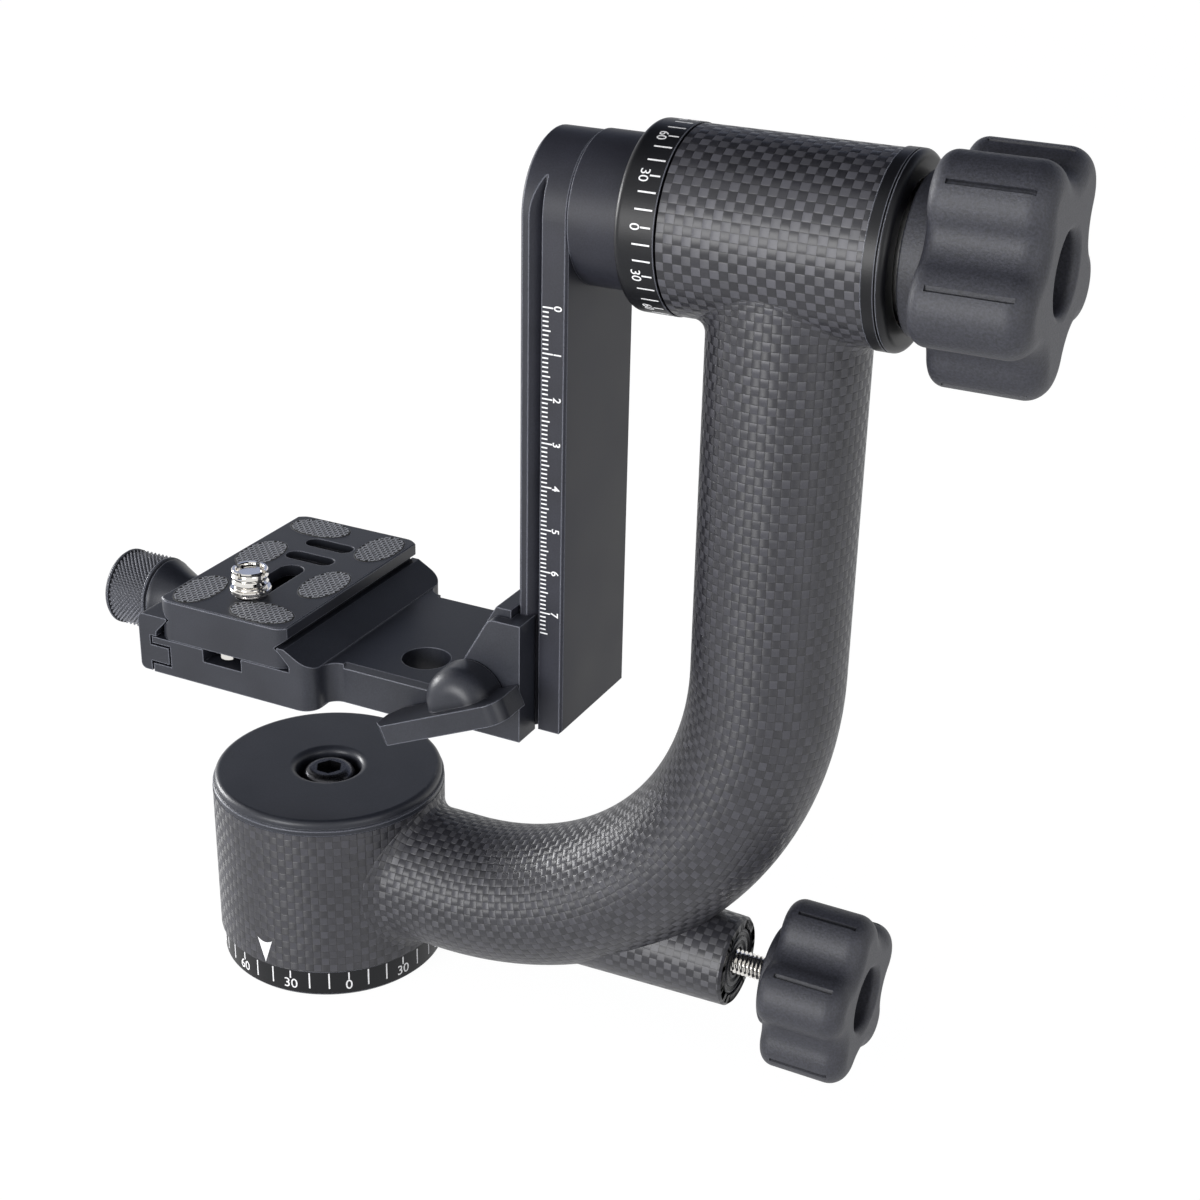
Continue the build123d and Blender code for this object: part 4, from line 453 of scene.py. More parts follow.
# One pad rubber in two copies: the floors are painted near black as painted shade between the ridges, and the
# ridges light grey as painted highlight.
PAD_FLOOR_SHADED = MouldedRubber("pad_rubber", "#050506", "#0b0c0e", grain=0.3, relief=0.03)
PAD_RIDGE_LIT = MouldedRubber("pad_ridge_painted_highlight", "#9a9ca3", "#b8bac1", grain=0.3, relief=0.02)
ENAMEL = FilledEnamel("white_enamel_fill")
BRIGHT = Steel("bright_steel")
BEARING = Steel("ground_bearing_steel", "#8f8f90", "#b9b9b8", roughness=0.3)
BLACK_STEEL = Steel("black_oxide_steel", "#39393c", "#5a5a5e", roughness=0.26)
LINING = WovenLining("friction_lining")


# ---- mesh helpers ----


def link(name: str, data: bpy.types.ID) -> Piece:
    """Puts a mesh, curve, lamp or camera into the scene as an object at the origin.

    Args:
        name: Name of the object.
        data: What it holds.

    Returns:
        The new object.
    """
    piece = bpy.data.objects.new(name, data)
    bpy.context.scene.collection.objects.link(piece)
    return piece


def clean(mesh: bpy.types.Mesh) -> bpy.types.Mesh:
    """Joins a mesh's doubled points and turns its normals outwards.

    Args:
        mesh: The mesh.

    Returns:
        The same mesh.
    """
    shape = bmesh.new()
    shape.from_mesh(mesh)
    bmesh.ops.remove_doubles(shape, verts=shape.verts, dist=DOUBLES)
    bmesh.ops.recalc_face_normals(shape, faces=shape.faces)
    shape.to_mesh(mesh)
    shape.free()
    return mesh


def settled(holder: Piece) -> bpy.types.Mesh:
    """Keeps as a plain mesh what the type or the modifier of a holder gives."""
    seen = holder.evaluated_get(bpy.context.evaluated_depsgraph_get())
    return bpy.data.meshes.new_from_object(seen)


def mesh_piece(name: str, points: list, faces: list) -> Piece:
    """Makes an object at the origin from points in metres, with its normals outwards.

    Args:
        name: Piece name.
        points: Vertices.
        faces: Vertex numbers of each face.

    Returns:
        The new object, linked to the scene.
    """
    mesh = bpy.data.meshes.new(name)
    mesh.from_pydata(points, [], faces)
    return link(name, clean(mesh))


def polar(reach: float, turn: float, height: float) -> Vector:
    """Point at a reach and a turn, in radians, round Z."""
    return Vector((reach * math.cos(turn), reach * math.sin(turn), height))


def quads(rings: int, around: int) -> list[tuple[int, ...]]:
    """Lists the faces of a round wall whose points are stored ring after ring.

    Args:
        rings: Number of rings.
        around: Points in each ring.

    Returns:
        Vertex numbers of each face.
    """
    steps = [(step, (step + 1) % around) for step in range(around)]
    lows = range(0, (rings - 1) * around, around)
    return [(low + a, low + b, low + around + b, low + around + a) for low in lows for a, b in steps]


def lathe(name: str, outline: Outline, place: Matrix, segments: int) -> Piece:
    """Turns an outline round local Z.

    Args:
        name: Piece name.
        outline: Radius and height pairs, closed at the axis or by the first pair again.
        place: Frame of the outline in metres.
        segments: Steps round.

    Returns:
        The turned piece.
    """
    turns = [math.tau * step / segments for step in range(segments)]
    points = [place @ polar(radius, turn, height) for radius, height in outline for turn in turns]
    return mesh_piece(name, points, quads(len(outline), segments))


def along(axis: Spot, origin: Spot) -> Matrix:
    """Frame with local Z along an axis.

    Args:
        axis: Direction of local Z.
        origin: Its start in millimetres.

    Returns:
        Matrix from local millimetres to metres.
    """
    turn = Vector(axis).to_track_quat("Z", "Y").to_matrix().to_4x4()
    return Matrix.Scale(MM, 4) @ Matrix.Translation(origin) @ turn


def smooth(piece: Piece, angle: float = 35.0) -> Piece:
    """Shades a piece smooth below an edge angle.

    Args:
        piece: The piece.
        angle: Sharpest smooth edge, in degrees.

    Returns:
        The same piece.
    """
    shape = bmesh.new()
    shape.from_mesh(piece.data)
    limit = math.radians(angle)
    for edge in shape.edges:
        edge.smooth = len(edge.link_faces) == 2 and edge.calc_face_angle(0.0) < limit
    for face in shape.faces:
        face.smooth = True
    shape.to_mesh(piece.data)
    shape.free()
    return piece


def finish_piece(piece: Piece, finish: Finish, body: str) -> Piece:
    """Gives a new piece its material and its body.

    Args:
        piece: The piece.
        finish: Its finish.
        body: CAD body that it rides on.

    Returns:
        The same piece.
    """
    piece.data.materials.clear()
    piece.data.materials.append(finish.material())
    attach(piece, body)
    LOG.info("%s: %d faces on %s", piece.name, len(piece.data.polygons), body)
    return piece


def dress(finish: Finish, *nodes: str) -> None:
    """Gives carried-over CAD nodes a finish.

    Args:
        finish: The finish.
        nodes: CAD node names.
    """
    for node in nodes:
        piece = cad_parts[node]
        if not piece.material_slots:
            piece.data.materials.append(finish.material())
        for place in piece.material_slots:
            place.material = finish.material()


def join(name: str, pieces: Iterable[Piece]) -> Piece:
    """Joins several pieces into one mesh.

    Args:
        name: Name of the joined piece.
        pieces: Pieces at the origin, which are used up.

    Returns:
        The joined piece.
    """
    shape = bmesh.new()
    for piece in pieces:
        shape.from_mesh(piece.data)
        bpy.data.objects.remove(piece)
    mesh = bpy.data.meshes.new(name)
    shape.to_mesh(mesh)
    shape.free()
    return link(name, mesh)


def threaded_bar(name: str, place: Matrix, radius: float, length: float, pitch: float) -> Piece:
    """Makes a bar with a real helical thread and chamfered ends.

    Args:
        name: Piece name.
        place: Frame with local Z along the bar.
        radius: Crest radius in millimetres.
        length: Length in millimetres.
        pitch: Thread pitch in millimetres.

    Returns:
        The bar as one closed mesh.
    """
    segments, rows_per_pitch = 48, 6
    depth, chamfer = 0.486 * pitch, 0.54 * pitch
    rows = int(length / pitch * rows_per_pitch)
    points = []
    for row in range(rows + 1):
        height = length * row / rows
        for step in range(segments):
            share = step / segments
            wave = (height / pitch - share) % 1.0
            reach = radius - depth * (1 - abs(2 * wave - 1))
            reach = min(reach, radius - chamfer + min(height, length - height))
            points.append(place @ polar(reach, math.tau * share, height))
    ends = [tuple(range(segments - 1, -1, -1)), tuple(range(rows * segments, (rows + 1) * segments))]
    return smooth(mesh_piece(name, points, quads(rows + 1, segments) + ends), 50.0)


# ---- Geometry Nodes ----


@dataclass
class Repeat:
    """A Geometry Nodes tree with named size inputs that is run once into a plain mesh.

    Lengths are in millimetres, and numbers go in as they are. Each tree has a number "Count".
    """

    name: str
    lengths: dict[str, float]
    numbers: dict[str, float]
    sizes: dict[str, float] = field(init=False)
    tree: Tree = field(init=False)
    entry: Node = field(init=False)
    index: Node = field(init=False)

    def __post_init__(self) -> None:
        """Makes the tree, its inputs and its output."""
        self.sizes = self.numbers | {label: length * MM for label, length in self.lengths.items()}
        self.tree = bpy.data.node_groups.new(self.name, "GeometryNodeTree")
        for label, value in self.sizes.items():
            kind = "NodeSocketInt" if isinstance(value, int) else "NodeSocketFloat"
            self.tree.interface.new_socket(label, in_out="INPUT", socket_type=kind)
        self.tree.interface.new_socket("Finish", in_out="INPUT", socket_type="NodeSocketMaterial")
        self.tree.interface.new_socket("Mesh", in_out="OUTPUT", socket_type="NodeSocketGeometry")
        self.entry = add(self.tree, "NodeGroupInput")
        self.index = add(self.tree, "GeometryNodeInputIndex")

    def size(self, label: str) -> Socket:
        """Socket of one named size."""
        return self.entry.outputs[label]

    def around(self, angle: Node, height: Node) -> Node:
        """Builds a place on the circle of the length "Radius".

        Args:
            angle: Turn round local Z.
            height: Height along it.

        Returns:
            Node that gives the place.
        """
        ways = {"Z": height}
        for axis, share in (("X", "cosine"), ("Y", "sine")):
            part = add(self.tree, share, [angle])
            ways[axis] = add(self.tree, "multiply", [part, self.size("Radius")])
        return add(self.tree, VECTOR, ways)

    def spread(self, item: Node, place: Node, **turned: Node) -> Node:
        """Puts an item on each of the points.

        Args:
            item: Geometry that is repeated.
            place: Place of each point.
            turned: Rotation and Scale of the item.

        Returns:
            Node that gives the instances.
        """
        row = {"Count": self.size("Count"), "Offset": (0.0, 0.0, 0.0)}
        line = add(self.tree, "GeometryNodeMeshLine", row)
        points = add(self.tree, "GeometryNodeSetPosition", {"Geometry": line, "Position": place})
        return add(self.tree, "GeometryNodeInstanceOnPoints", {"Points": points, "Instance": item, **turned})

    def bars(self, place: Node, size: dict, **turned: Node) -> Node:
        """Puts a bar on each of the points.

        Args:
            place: Place of each point.
            size: Length of the bar along X, Y and Z.
            turned: Rotation of the bar.

        Returns:
            Node that gives the bars.
        """
        cube = add(self.tree, "GeometryNodeMeshCube", {"Size": (1.0, 1.0, 1.0)})
        return self.spread(cube, place, Scale=add(self.tree, VECTOR, size), **turned)

    def run(self, instances: Node, finish: Finish) -> Piece:
        """Ends the tree, runs it and keeps the plain mesh.

        Args:
            instances: Node whose first output is the geometry.
            finish: Finish of the result.

        Returns:
            A plain mesh object at the origin.
        """
        real = add(self.tree, "GeometryNodeRealizeInstances", {"Geometry": instances})
        paint = {"Geometry": real, "Material": self.size("Finish")}
        add(self.tree, "NodeGroupOutput", {0: add(self.tree, "GeometryNodeSetMaterial", paint)})
        holder = link(self.name, bpy.data.meshes.new(self.name + "_holder"))
        modifier = holder.modifiers.new("repeat", "NODES")
        modifier.node_group = self.tree
        values = {**self.sizes, "Finish": finish.material()}
        for item in self.tree.interface.items_tree:
            if item.in_out == "INPUT":
                modifier[item.identifier] = values[item.name]
        mesh = settled(holder)
        holder.modifiers.remove(modifier)
        bpy.data.objects.remove(holder)
        return link(self.name, mesh)


@dataclass
class DialTicks:
    """Engraved ticks round a dial, shorter where a numeral stands. Sizes in millimetres."""

    name: str
    radius: float
    top: float
    start: float
    plain: float
    width: float
    numbered: float = 2.2
    proud: float = 0.03
    count: int = 36
    every: int = 3

    def build(self) -> Piece:
        """Makes the ticks round local Z.

        Returns:
            The ticks as one mesh.
        """
        repeat = Repeat(
            self.name,
            {
                "Radius": self.radius, "Top": self.top, "Plain": self.plain, "Numbered": self.numbered,
                "Width": self.width, "Thickness": 2 * self.proud
            },
            {
                "Count": self.count, "Every": self.every, "Start": math.radians(self.start),
                "Step": math.tau / self.count
            }
        )
        tree, size, index = repeat.tree, repeat.size, repeat.index
        rest = add(tree, "modulo", [index, size("Every")])
        plain = add(tree, "greater_than", [rest, 0.5])
        length = add(tree, MIX, {"Factor": plain, "A": size("Numbered"), "B": size("Plain")})
        angle = add(tree, "multiply_add", [index, size("Step"), size("Start")])
        half = add(tree, "multiply", [length, 0.5])
        middle = add(tree, "subtract", [size("Top"), half])
        bar = {"X": size("Thickness"), "Y": size("Width"), "Z": length}
        turn = add(tree, VECTOR, {"Z": angle})
        return repeat.run(repeat.bars(repeat.around(angle, middle), bar, Rotation=turn), ENAMEL)


@dataclass
class RulerTicks:
    """Engraved millimetre ticks down a flat face. Sizes in millimetres."""

    name: str
    x: float
    y: float
    top: float
    count: int = 76
    short: float = 1.4
    middle: float = 1.9
    long: float = 2.5
    width: float = 0.32
    proud: float = 0.03

    def build(self) -> Piece:
        """Makes the ticks, longer at every fifth and longest at every tenth.

        Returns:
            The ticks as one mesh.
        """
        repeat = Repeat(
            self.name,
            {
                "Step": -1.0, "Top": self.top, "Start": self.x, "Face": self.y, "Short": self.short,
                "Middle": self.middle, "Long": self.long, "Width": self.width, "Thickness": 2 * self.proud
            },
            {"Count": self.count}
        )
        tree, size, index = repeat.tree, repeat.size, repeat.index
        length = size("Short")
        for every, longer in ((5.0, "Middle"), (10.0, "Long")):
            rest = add(tree, "modulo", [index, every])
            marked = add(tree, "less_than", [rest, 0.5])
            length = add(tree, MIX, {"Factor": marked, "A": length, "B": size(longer)})
        x = add(tree, "multiply_add", [length, 0.5, size("Start")])
        z = add(tree, "multiply_add", [index, size("Step"), size("Top")])
        place = add(tree, VECTOR, {"X": x, "Y": size("Face"), "Z": z})
        bar = {"X": length, "Y": size("Thickness"), "Z": size("Width")}
        return repeat.run(repeat.bars(place, bar), ENAMEL)


@dataclass
class Numeral:
    """A numeral cut from flat type, laid on a surface by a rule. Sizes in millimetres."""

    text: str
    height: float
    weight: float = 0.0
    proud: float = 0.03

    def build(self, lay: Callable[[Vector], Vector]) -> Piece:
        """Makes the numeral.

        Args:
            lay: Takes a point of the upright type, in millimetres from its middle with Z as its
                thickness, to its place in metres.

        Returns:
            The numeral as one mesh.
        """
        curve = bpy.data.curves.new("numeral", "FONT")
        curve.body = self.text
        curve.size = self.height / CAPITAL
        curve.align_x = "CENTER"
        curve.extrude = self.proud
        curve.offset = self.weight * self.height
        curve.resolution_u = 4
        holder = link("numeral", curve)
        mesh = settled(holder)
        bpy.data.objects.remove(holder)
        for vertex in mesh.vertices:
            vertex.co = lay(vertex.co - Vector((0.0, self.height / 2, 0.0)))
        return link("numeral", clean(mesh))


# ---- sub-assemblies ----


@dataclass
class PanBase:
    """Dial and carbon housing that carry the head. Sizes in millimetres, angles in degrees."""

    dial_radius: float = 28.7
    ticks_top: float = 6.8
    numeral_height: float = 2.7
    numeral_middle: float = 3.2
    sleeve_radius: float = 29.5
    zero: float = 310.6
    pointer_angle: float = 267.8
    pointer_top: float = 15.0
    pointer_tip: float = 8.3
    pointer_half: float = 4.3
    pointer_hollow: float = 0.8
    pointer_proud: float = 0.03
    pointer_sunk: float = 0.1
    pointer_blunt: float = 0.02

    def build(self) -> None:
        """Builds the scale and the pointer and dresses the housing."""
        marks = DialTicks("pan_ticks", self.dial_radius, self.ticks_top, self.zero, plain=4.6, width=0.36)
        pieces = [marks.build()]
        for number in range(0, 360, 30):
            numeral = Numeral(str(min(number, 360 - number)), self.numeral_height)
            pieces.append(numeral.build(partial(self.on_dial, self.zero - number)))
        finish_piece(join("pan_scale", pieces), ENAMEL, "tripod_base")
        finish_piece(self.pointer(), ENAMEL, "pan_arm")
        dress(CarbonWeave("carbon_weave_base", Lay.AROUND_Z, radius=self.sleeve_radius), "base_sleeve")
        dress(ANODISED_DIAL, "pan_dial_ring")
        dress(ANODISED, "base_plate", "base_housing", "bearing_carrier", "base_cap", "centre_washer")
        dress(BEARING, "pan_spindle", "brake_drum", "pan_bearing_inner_rings", "pan_bearing_outer_rings")
        dress(BEARING, "pan_bearing_balls")
        dress(BLACK_STEEL, "centre_screw", "spindle_screws")

    def on_dial(self, angle: float, point: Vector) -> Vector:
        """Lays a point of upright type on the dial, round an angle in degrees."""
        turn = math.radians(angle) + point.x / self.dial_radius
        return polar(self.dial_radius + point.z, turn, self.numeral_middle + point.y) * MM

    def pointer(self) -> Piece:
        """Makes the pointer, a downward triangle with a hollow top edge.

        Returns:
            The pointer as one mesh.
        """
        rows = steps = 8
        points = []
        for row in range(rows + 1):
            share = row / rows
            low = self.pointer_tip + (self.pointer_top - self.pointer_tip) * share
            for out, way in ((self.pointer_proud, 1), (-self.pointer_sunk, -1)):
                for step in range(steps + 1):
                    side = way * (2 * step / steps - 1)
                    angle = self.pointer_angle + side * self.pointer_half * max(share, self.pointer_blunt)
                    height = low - self.pointer_hollow * share * (1 - side * side)
                    points.append(polar(self.sleeve_radius + out, math.radians(angle), height) * MM)
        ring = 2 * (steps + 1)
        faces = quads(rows + 1, ring)
        for start in (0, rows * ring):
            end = start + ring - 1
            faces += [(start + step, start + step + 1, end - step - 1, end - step) for step in range(steps)]
        return mesh_piece("pan_pointer", points, faces)


@dataclass
class BentTube:
    """Bent carbon tube between the pan housing and the tilt sleeve. Sizes in millimetres."""

    radius: float = 17.3
    low_z: float = 27.8
    upright_x: float = 118.2
    base_radius: float = 29.5
    bend_x: float = 38.7
    tilt_radius: float = 19.65
    tilt_z: float = 205.0
    fillet: float = 2.6
    sunk: float = 0.2
    around: int = 112
    bend_rows: int = 72
    straight_rows: int = 8
    fillet_rows: int = 8

    def point(self, leg: str, gap: float, out: float, share: float, angle: float) -> tuple[Vector, float]:
        """Finds a point of the tube's skin.

        Args:
            leg: "lower", "bend" or "upper".
            gap: Distance from the base or the sleeve, where the leg ends.
            out: Growth of the radius there.
            share: Share of the way along the leg or round the bend.
            angle: Turn round the tube.

        Returns:
            The point and its distance along the weave.
        """
        bend_radius = self.upright_x - self.bend_x
        bend_z = self.low_z + bend_radius
        reach = self.radius + (out * math.cos(angle) ** 2 if leg == "upper" else out)
        side, rise = reach * math.sin(angle), reach * math.cos(angle)
        if leg == "lower":
            near = math.sqrt(self.base_radius ** 2 - side ** 2) + gap
            x = near + (self.bend_x - near) * share
            return Vector((x, side, self.low_z + rise)), x - self.bend_x - out
        turn = math.pi / 2
        if leg == "bend":
            turn *= share
            x = self.bend_x + (bend_radius - rise) * math.sin(turn)
            return Vector((x, side, bend_z - (bend_radius - rise) * math.cos(turn))), bend_radius * turn
        far = self.tilt_z - math.sqrt(self.tilt_radius ** 2 - side ** 2) - gap
        z = bend_z + (far - bend_z) * share
        return Vector((self.upright_x - rise, side, z)), bend_radius * turn + z - bend_z + out

    def rings(self) -> list[Callable[[float], tuple[Vector, float]]]:
        """Lists the rings of the tube from the base to the tilt sleeve.

        Returns:
            For each ring, a rule from an angle to a point and its distance along the weave.
        """
        turns = [step / self.fillet_rows * math.pi / 2 for step in range(self.fillet_rows)]
        starts = [self.fillet * (1 - math.cos(turn)) for turn in turns]
        ends = [self.fillet * (1 - math.sin(turn)) for turn in turns]
        rows, upright_rows = self.straight_rows, 3 * self.straight_rows
        stretches = [
            ("lower", -self.sunk, self.fillet, 0.0),
            *(("lower", start, end, 0.0) for start, end in zip(starts, ends)),
            *(("lower", self.fillet, 0.0, row / rows) for row in range(rows)),
            *(("bend", 0.0, 0.0, row / self.bend_rows) for row in range(self.bend_rows)),
            *(("upper", self.fillet, 0.0, row / upright_rows) for row in range(upright_rows + 1)),
            *(("upper", end, start, 1.0) for start, end in zip(starts[1:], ends[1:])),
            ("upper", -self.sunk, self.fillet, 1.0)
        ]
        return [partial(self.point, *stretch) for stretch in stretches]

    def build(self) -> None:
        """Builds the tube with its weave laid along it."""
        turns = [step / self.around for step in range(self.around + 1)]
        rings = [[ring(math.tau * turn) for turn in turns] for ring in self.rings()]
        points = [point * MM for ring in rings for point, _ in ring[:-1]]
        layout = [
            (turns[step + right], rings[row + up][step + right][1] * MM)
            for row in range(len(rings) - 1)
            for step in range(self.around)
            for up, right in ((0, 0), (1, 0), (1, 1), (0, 1))
        ]
        mesh = bpy.data.meshes.new("carbon_tube")
        mesh.from_pydata(points, [], [(a, d, c, b) for a, b, c, d in quads(len(rings), self.around)])
        marks = mesh.uv_layers.new(name="lay")
        for loop, place in zip(marks.data, layout):
            loop.uv = place
        mesh.shade_smooth()
        weave = CarbonWeave("carbon_weave_tube", Lay.UNROLLED, radius=self.radius, tow=1.9)
        tube = finish_piece(link("carbon_tube", mesh), weave, "pan_arm")
        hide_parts("j_tube")


@dataclass
class PanLock:
    """Lock boss, stud and lobed knob under the bend. Sizes in millimetres."""

    axis_z: float = 29.0
    boss_radius: float = 11.5
    stud_radius: float = 3.0
    stud_start: float = 100.3
    stud_length: float = 35.3
    pitch: float = 1.0
    insert_face: float = 114.15
    rings: Outline = (
        (7.9, 0.0), (7.9, 0.45), (7.4, 0.65), (7.0, 0.25), (6.3, 0.25), (6.0, 0.65), (5.2, 0.65),
        (4.9, 0.2), (4.3, 0.2), (4.0, 0.5), (3.5, 0.5), (3.4, 0.0), (7.9, 0.0)
    )

    def build(self) -> None:
        """Builds the threaded stud and the ringed insert face, and dresses the lock."""
        face, start = (
            along((1, 0, 0), (x, 0, self.axis_z)) for x in (self.insert_face, self.stud_start)
        )
        rings = smooth(lathe("insert_rings", self.rings, face, segments=72), 20.0)
        finish_piece(rings, ANODISED_DIAL, "pan_arm")
        stud = threaded_bar("lock_stud_thread", start, self.stud_radius, self.stud_length, self.pitch)
        finish_piece(stud, BRIGHT, "pan_lock")
        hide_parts("pan_lock_stud")
        weave = CarbonWeave(
            "carbon_weave_boss", Lay.AROUND_X, (0.0, self.axis_z), self.boss_radius, tow=1.9, relief=0.05
        )
        dress(weave, "lock_boss")
        dress(ANODISED_DIAL, "lock_insert")
        dress(ANODISED, "rod_guide", "pan_knob_core")
        dress(BEARING, "push_rod")
        dress(LINING, "brake_shoe")
        dress(RUBBER, "pan_lock_knob")


@dataclass
class TiltHead:
    """Carbon sleeve, dial and knob of the tilt axis. Sizes in millimetres, angles in degrees."""

    axis_z: float = 205.0
    sleeve_radius: float = 19.65
    dial_radius: float = 19.85
    ticks_right: float = 95.2
    numeral_height: float = 2.1
    numeral_middle: float = 91.8
    zero: float = 7.4

    def build(self) -> None:
        """Builds the tilt scale and dresses the sleeve, dial and knob."""
        marks = DialTicks("tilt_ticks", self.dial_radius, self.ticks_right, 0.0, plain=3.9, width=0.34)
        ticks = marks.build()
        turn = Matrix(((0, 0, 1, 0), (-1, 0, 0, 0), (0, -1, 0, 0), (0, 0, 0, 1)))
        zero = Matrix.Rotation(math.radians(self.zero), 4, "X")
        ticks.data.transform(Matrix.Translation((0, 0, self.axis_z * MM)) @ zero.inverted() @ turn)
        pieces = [ticks]
        for number in range(0, 360, 30):
            numeral = Numeral(str(min(number % 180, 180 - number % 180)), self.numeral_height)
            pieces.append(numeral.build(partial(self.on_dial, self.zero + number)))
        finish_piece(join("tilt_scale", pieces), ENAMEL, "tilt_arm")
        # The tilt sleeve's warp and weft colours differ more, a stronger painted sheen.
        weave = CarbonWeave(
            "carbon_weave_tilt", Lay.AROUND_X, (0.0, self.axis_z), self.sleeve_radius,
            warp="#3b3b42", weft="#26262b", relief=0.09
        )
        dress(weave, "tilt_sleeve")
        dress(ANODISED_DIAL, "tilt_dial", "tilt_collar")
        dress(ANODISED, "tilt_housing", "shaft_spacer", "tilt_knob_core")
        dress(BEARING, "tilt_shaft", "thrust_washer", "tilt_bearing_inner_rings", "tilt_bearing_outer_rings")
        dress(BEARING, "tilt_bearing_balls")
        dress(LINING, "friction_disc")
        dress(RUBBER, "tilt_knob")

    def on_dial(self, angle: float, point: Vector) -> Vector:
        """Lays a point of type on the dial, its top towards the sleeve.

        Args:
            angle: Turn from the near side upwards, in degrees.
            point: Point of the type.

        Returns:
            Its place in metres.
        """
        turn = math.radians(angle) - point.x / self.dial_radius
        side, rise, middle = polar(self.dial_radius + point.z, turn, self.numeral_middle + point.y)
        return Vector((middle, -side, self.axis_z + rise)) * MM


@dataclass
class SwingArm:
    """Dovetail arm with its ruler. Sizes in millimetres."""

    face_y: float = -15.85
    ruler_x: float = 69.4
    ruler_top: float = 186.8
    numeral_x: float = 73.0
    numeral_height: float = 1.8

    def build(self) -> None:
        """Builds the ruler and dresses the arm."""
        pieces = [RulerTicks("ruler_ticks", self.ruler_x, self.face_y, self.ruler_top).build()]
        for number in range(8):
            numeral = Numeral(str(number), self.numeral_height, weight=0.015)
            pieces.append(numeral.build(partial(self.beside, self.ruler_top - 10 * number)))
        finish_piece(join("arm_ruler", pieces), ENAMEL, "tilt_arm")
        dress(ANODISED_ARM, "swing_arm", "arm_hub")
        dress(BLACK_STEEL, "hub_screws", "rail_stop_screws")

    def beside(self, height: float, point: Vector) -> Vector:
        """Lays a point of type beside the tick at a height, turned a quarter clockwise."""
        return Vector((self.numeral_x + point.y, self.face_y - point.z, height - point.x)) * MM


@dataclass
class KnurledKnob:
    """Knurled knob of the plate clamp. Sizes in millimetres from its neck, outwards along -X."""

    neck_x: float = -33.0
    axis_z: float = 88.0
    radius: float = 9.8
    root: float = 9.05
    columns: int = 44
    rows: int = 17
    knurl_start: float = 16.3
    knurl_end: float = 25.9
    fill: float = 0.86
    outline: Outline = (
        (0.0, 20.0), (2.52, 20.0), (2.52, 0.0), (6.6, 0.0), (6.6, 8.0), (9.1, 13.6), (9.35, 14.0),
        (9.35, 14.5), (9.0, 14.6), (9.0, 14.9), (9.4, 15.0), (9.7, 15.3), (9.7, 15.8), (9.05, 16.0),
        (9.05, 26.2), (9.75, 26.4), (9.75, 26.9), (9.3, 27.5), (8.4, 28.0), (7.9, 28.0), (7.7, 27.7),
        (0.0, 27.7)
    )

    def build(self) -> None:
        """Builds the turned body and its diamond knurl."""
        place = along((-1, 0, 0), (self.neck_x, 0, self.axis_z))
        body = smooth(lathe("knob_body", self.outline, place, segments=100))
        knurl = self.knurl()
        knurl.data.transform(place @ Matrix.Scale(1 / MM, 4))
        turned_faces = len(body.data.polygons)
        knob = join("plate_clamp_knob_knurled", [body, knurl])
        finish_piece(knob, ANODISED, "plate_clamp_knob")
        # The knurl faces take the lighter copy with painted sheen.
        knob.data.materials.append(KNURL_SHEEN.material())
        for face in knob.data.polygons[turned_faces:]:
            face.material_index = 1
        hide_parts("qr_knob")

    def knurl(self) -> Piece:
        """Makes the diamond pyramids round local Z, every other row half a step on.

        Returns:
            The pyramids as one mesh.
        """
        repeat = Repeat(
            "knurl_diamonds",
            {
                "Radius": self.root, "Height": self.radius - self.root, "Start": self.knurl_start,
                "End": self.knurl_end, "Half Width": self.fill * math.pi * self.root / self.columns
            },
            {"Count": self.columns * self.rows, "Columns": self.columns, "Last Row": self.rows - 1}
        )
        tree, size, index = repeat.tree, repeat.size, repeat.index
        column = add(tree, "modulo", [index, size("Columns")])
        share = add(tree, "divide", [index, size("Columns")])
        row = add(tree, "floor", [share])
        odd = add(tree, "modulo", [row, 2.0])
        shifted = add(tree, "multiply_add", [odd, 0.5, column])
        round_share = add(tree, "divide", [shifted, size("Columns")])
        angle = add(tree, "multiply", [round_share, math.tau])
        row_share = add(tree, "divide", [row, size("Last Row")])
        height = add(tree, MIX, {"Factor": row_share, "A": size("Start"), "B": size("End")})
        form = {
            "Vertices": 4, "Radius Top": 0.0, "Radius Bottom": size("Half Width"), "Depth": size("Height")
        }
        diamond = add(tree, "GeometryNodeMeshCone", form, fill_type="NONE")
        turn = add(tree, VECTOR, {"Y": math.pi / 2, "Z": angle})
        return repeat.run(repeat.spread(diamond, repeat.around(angle, height), Rotation=turn), ANODISED)


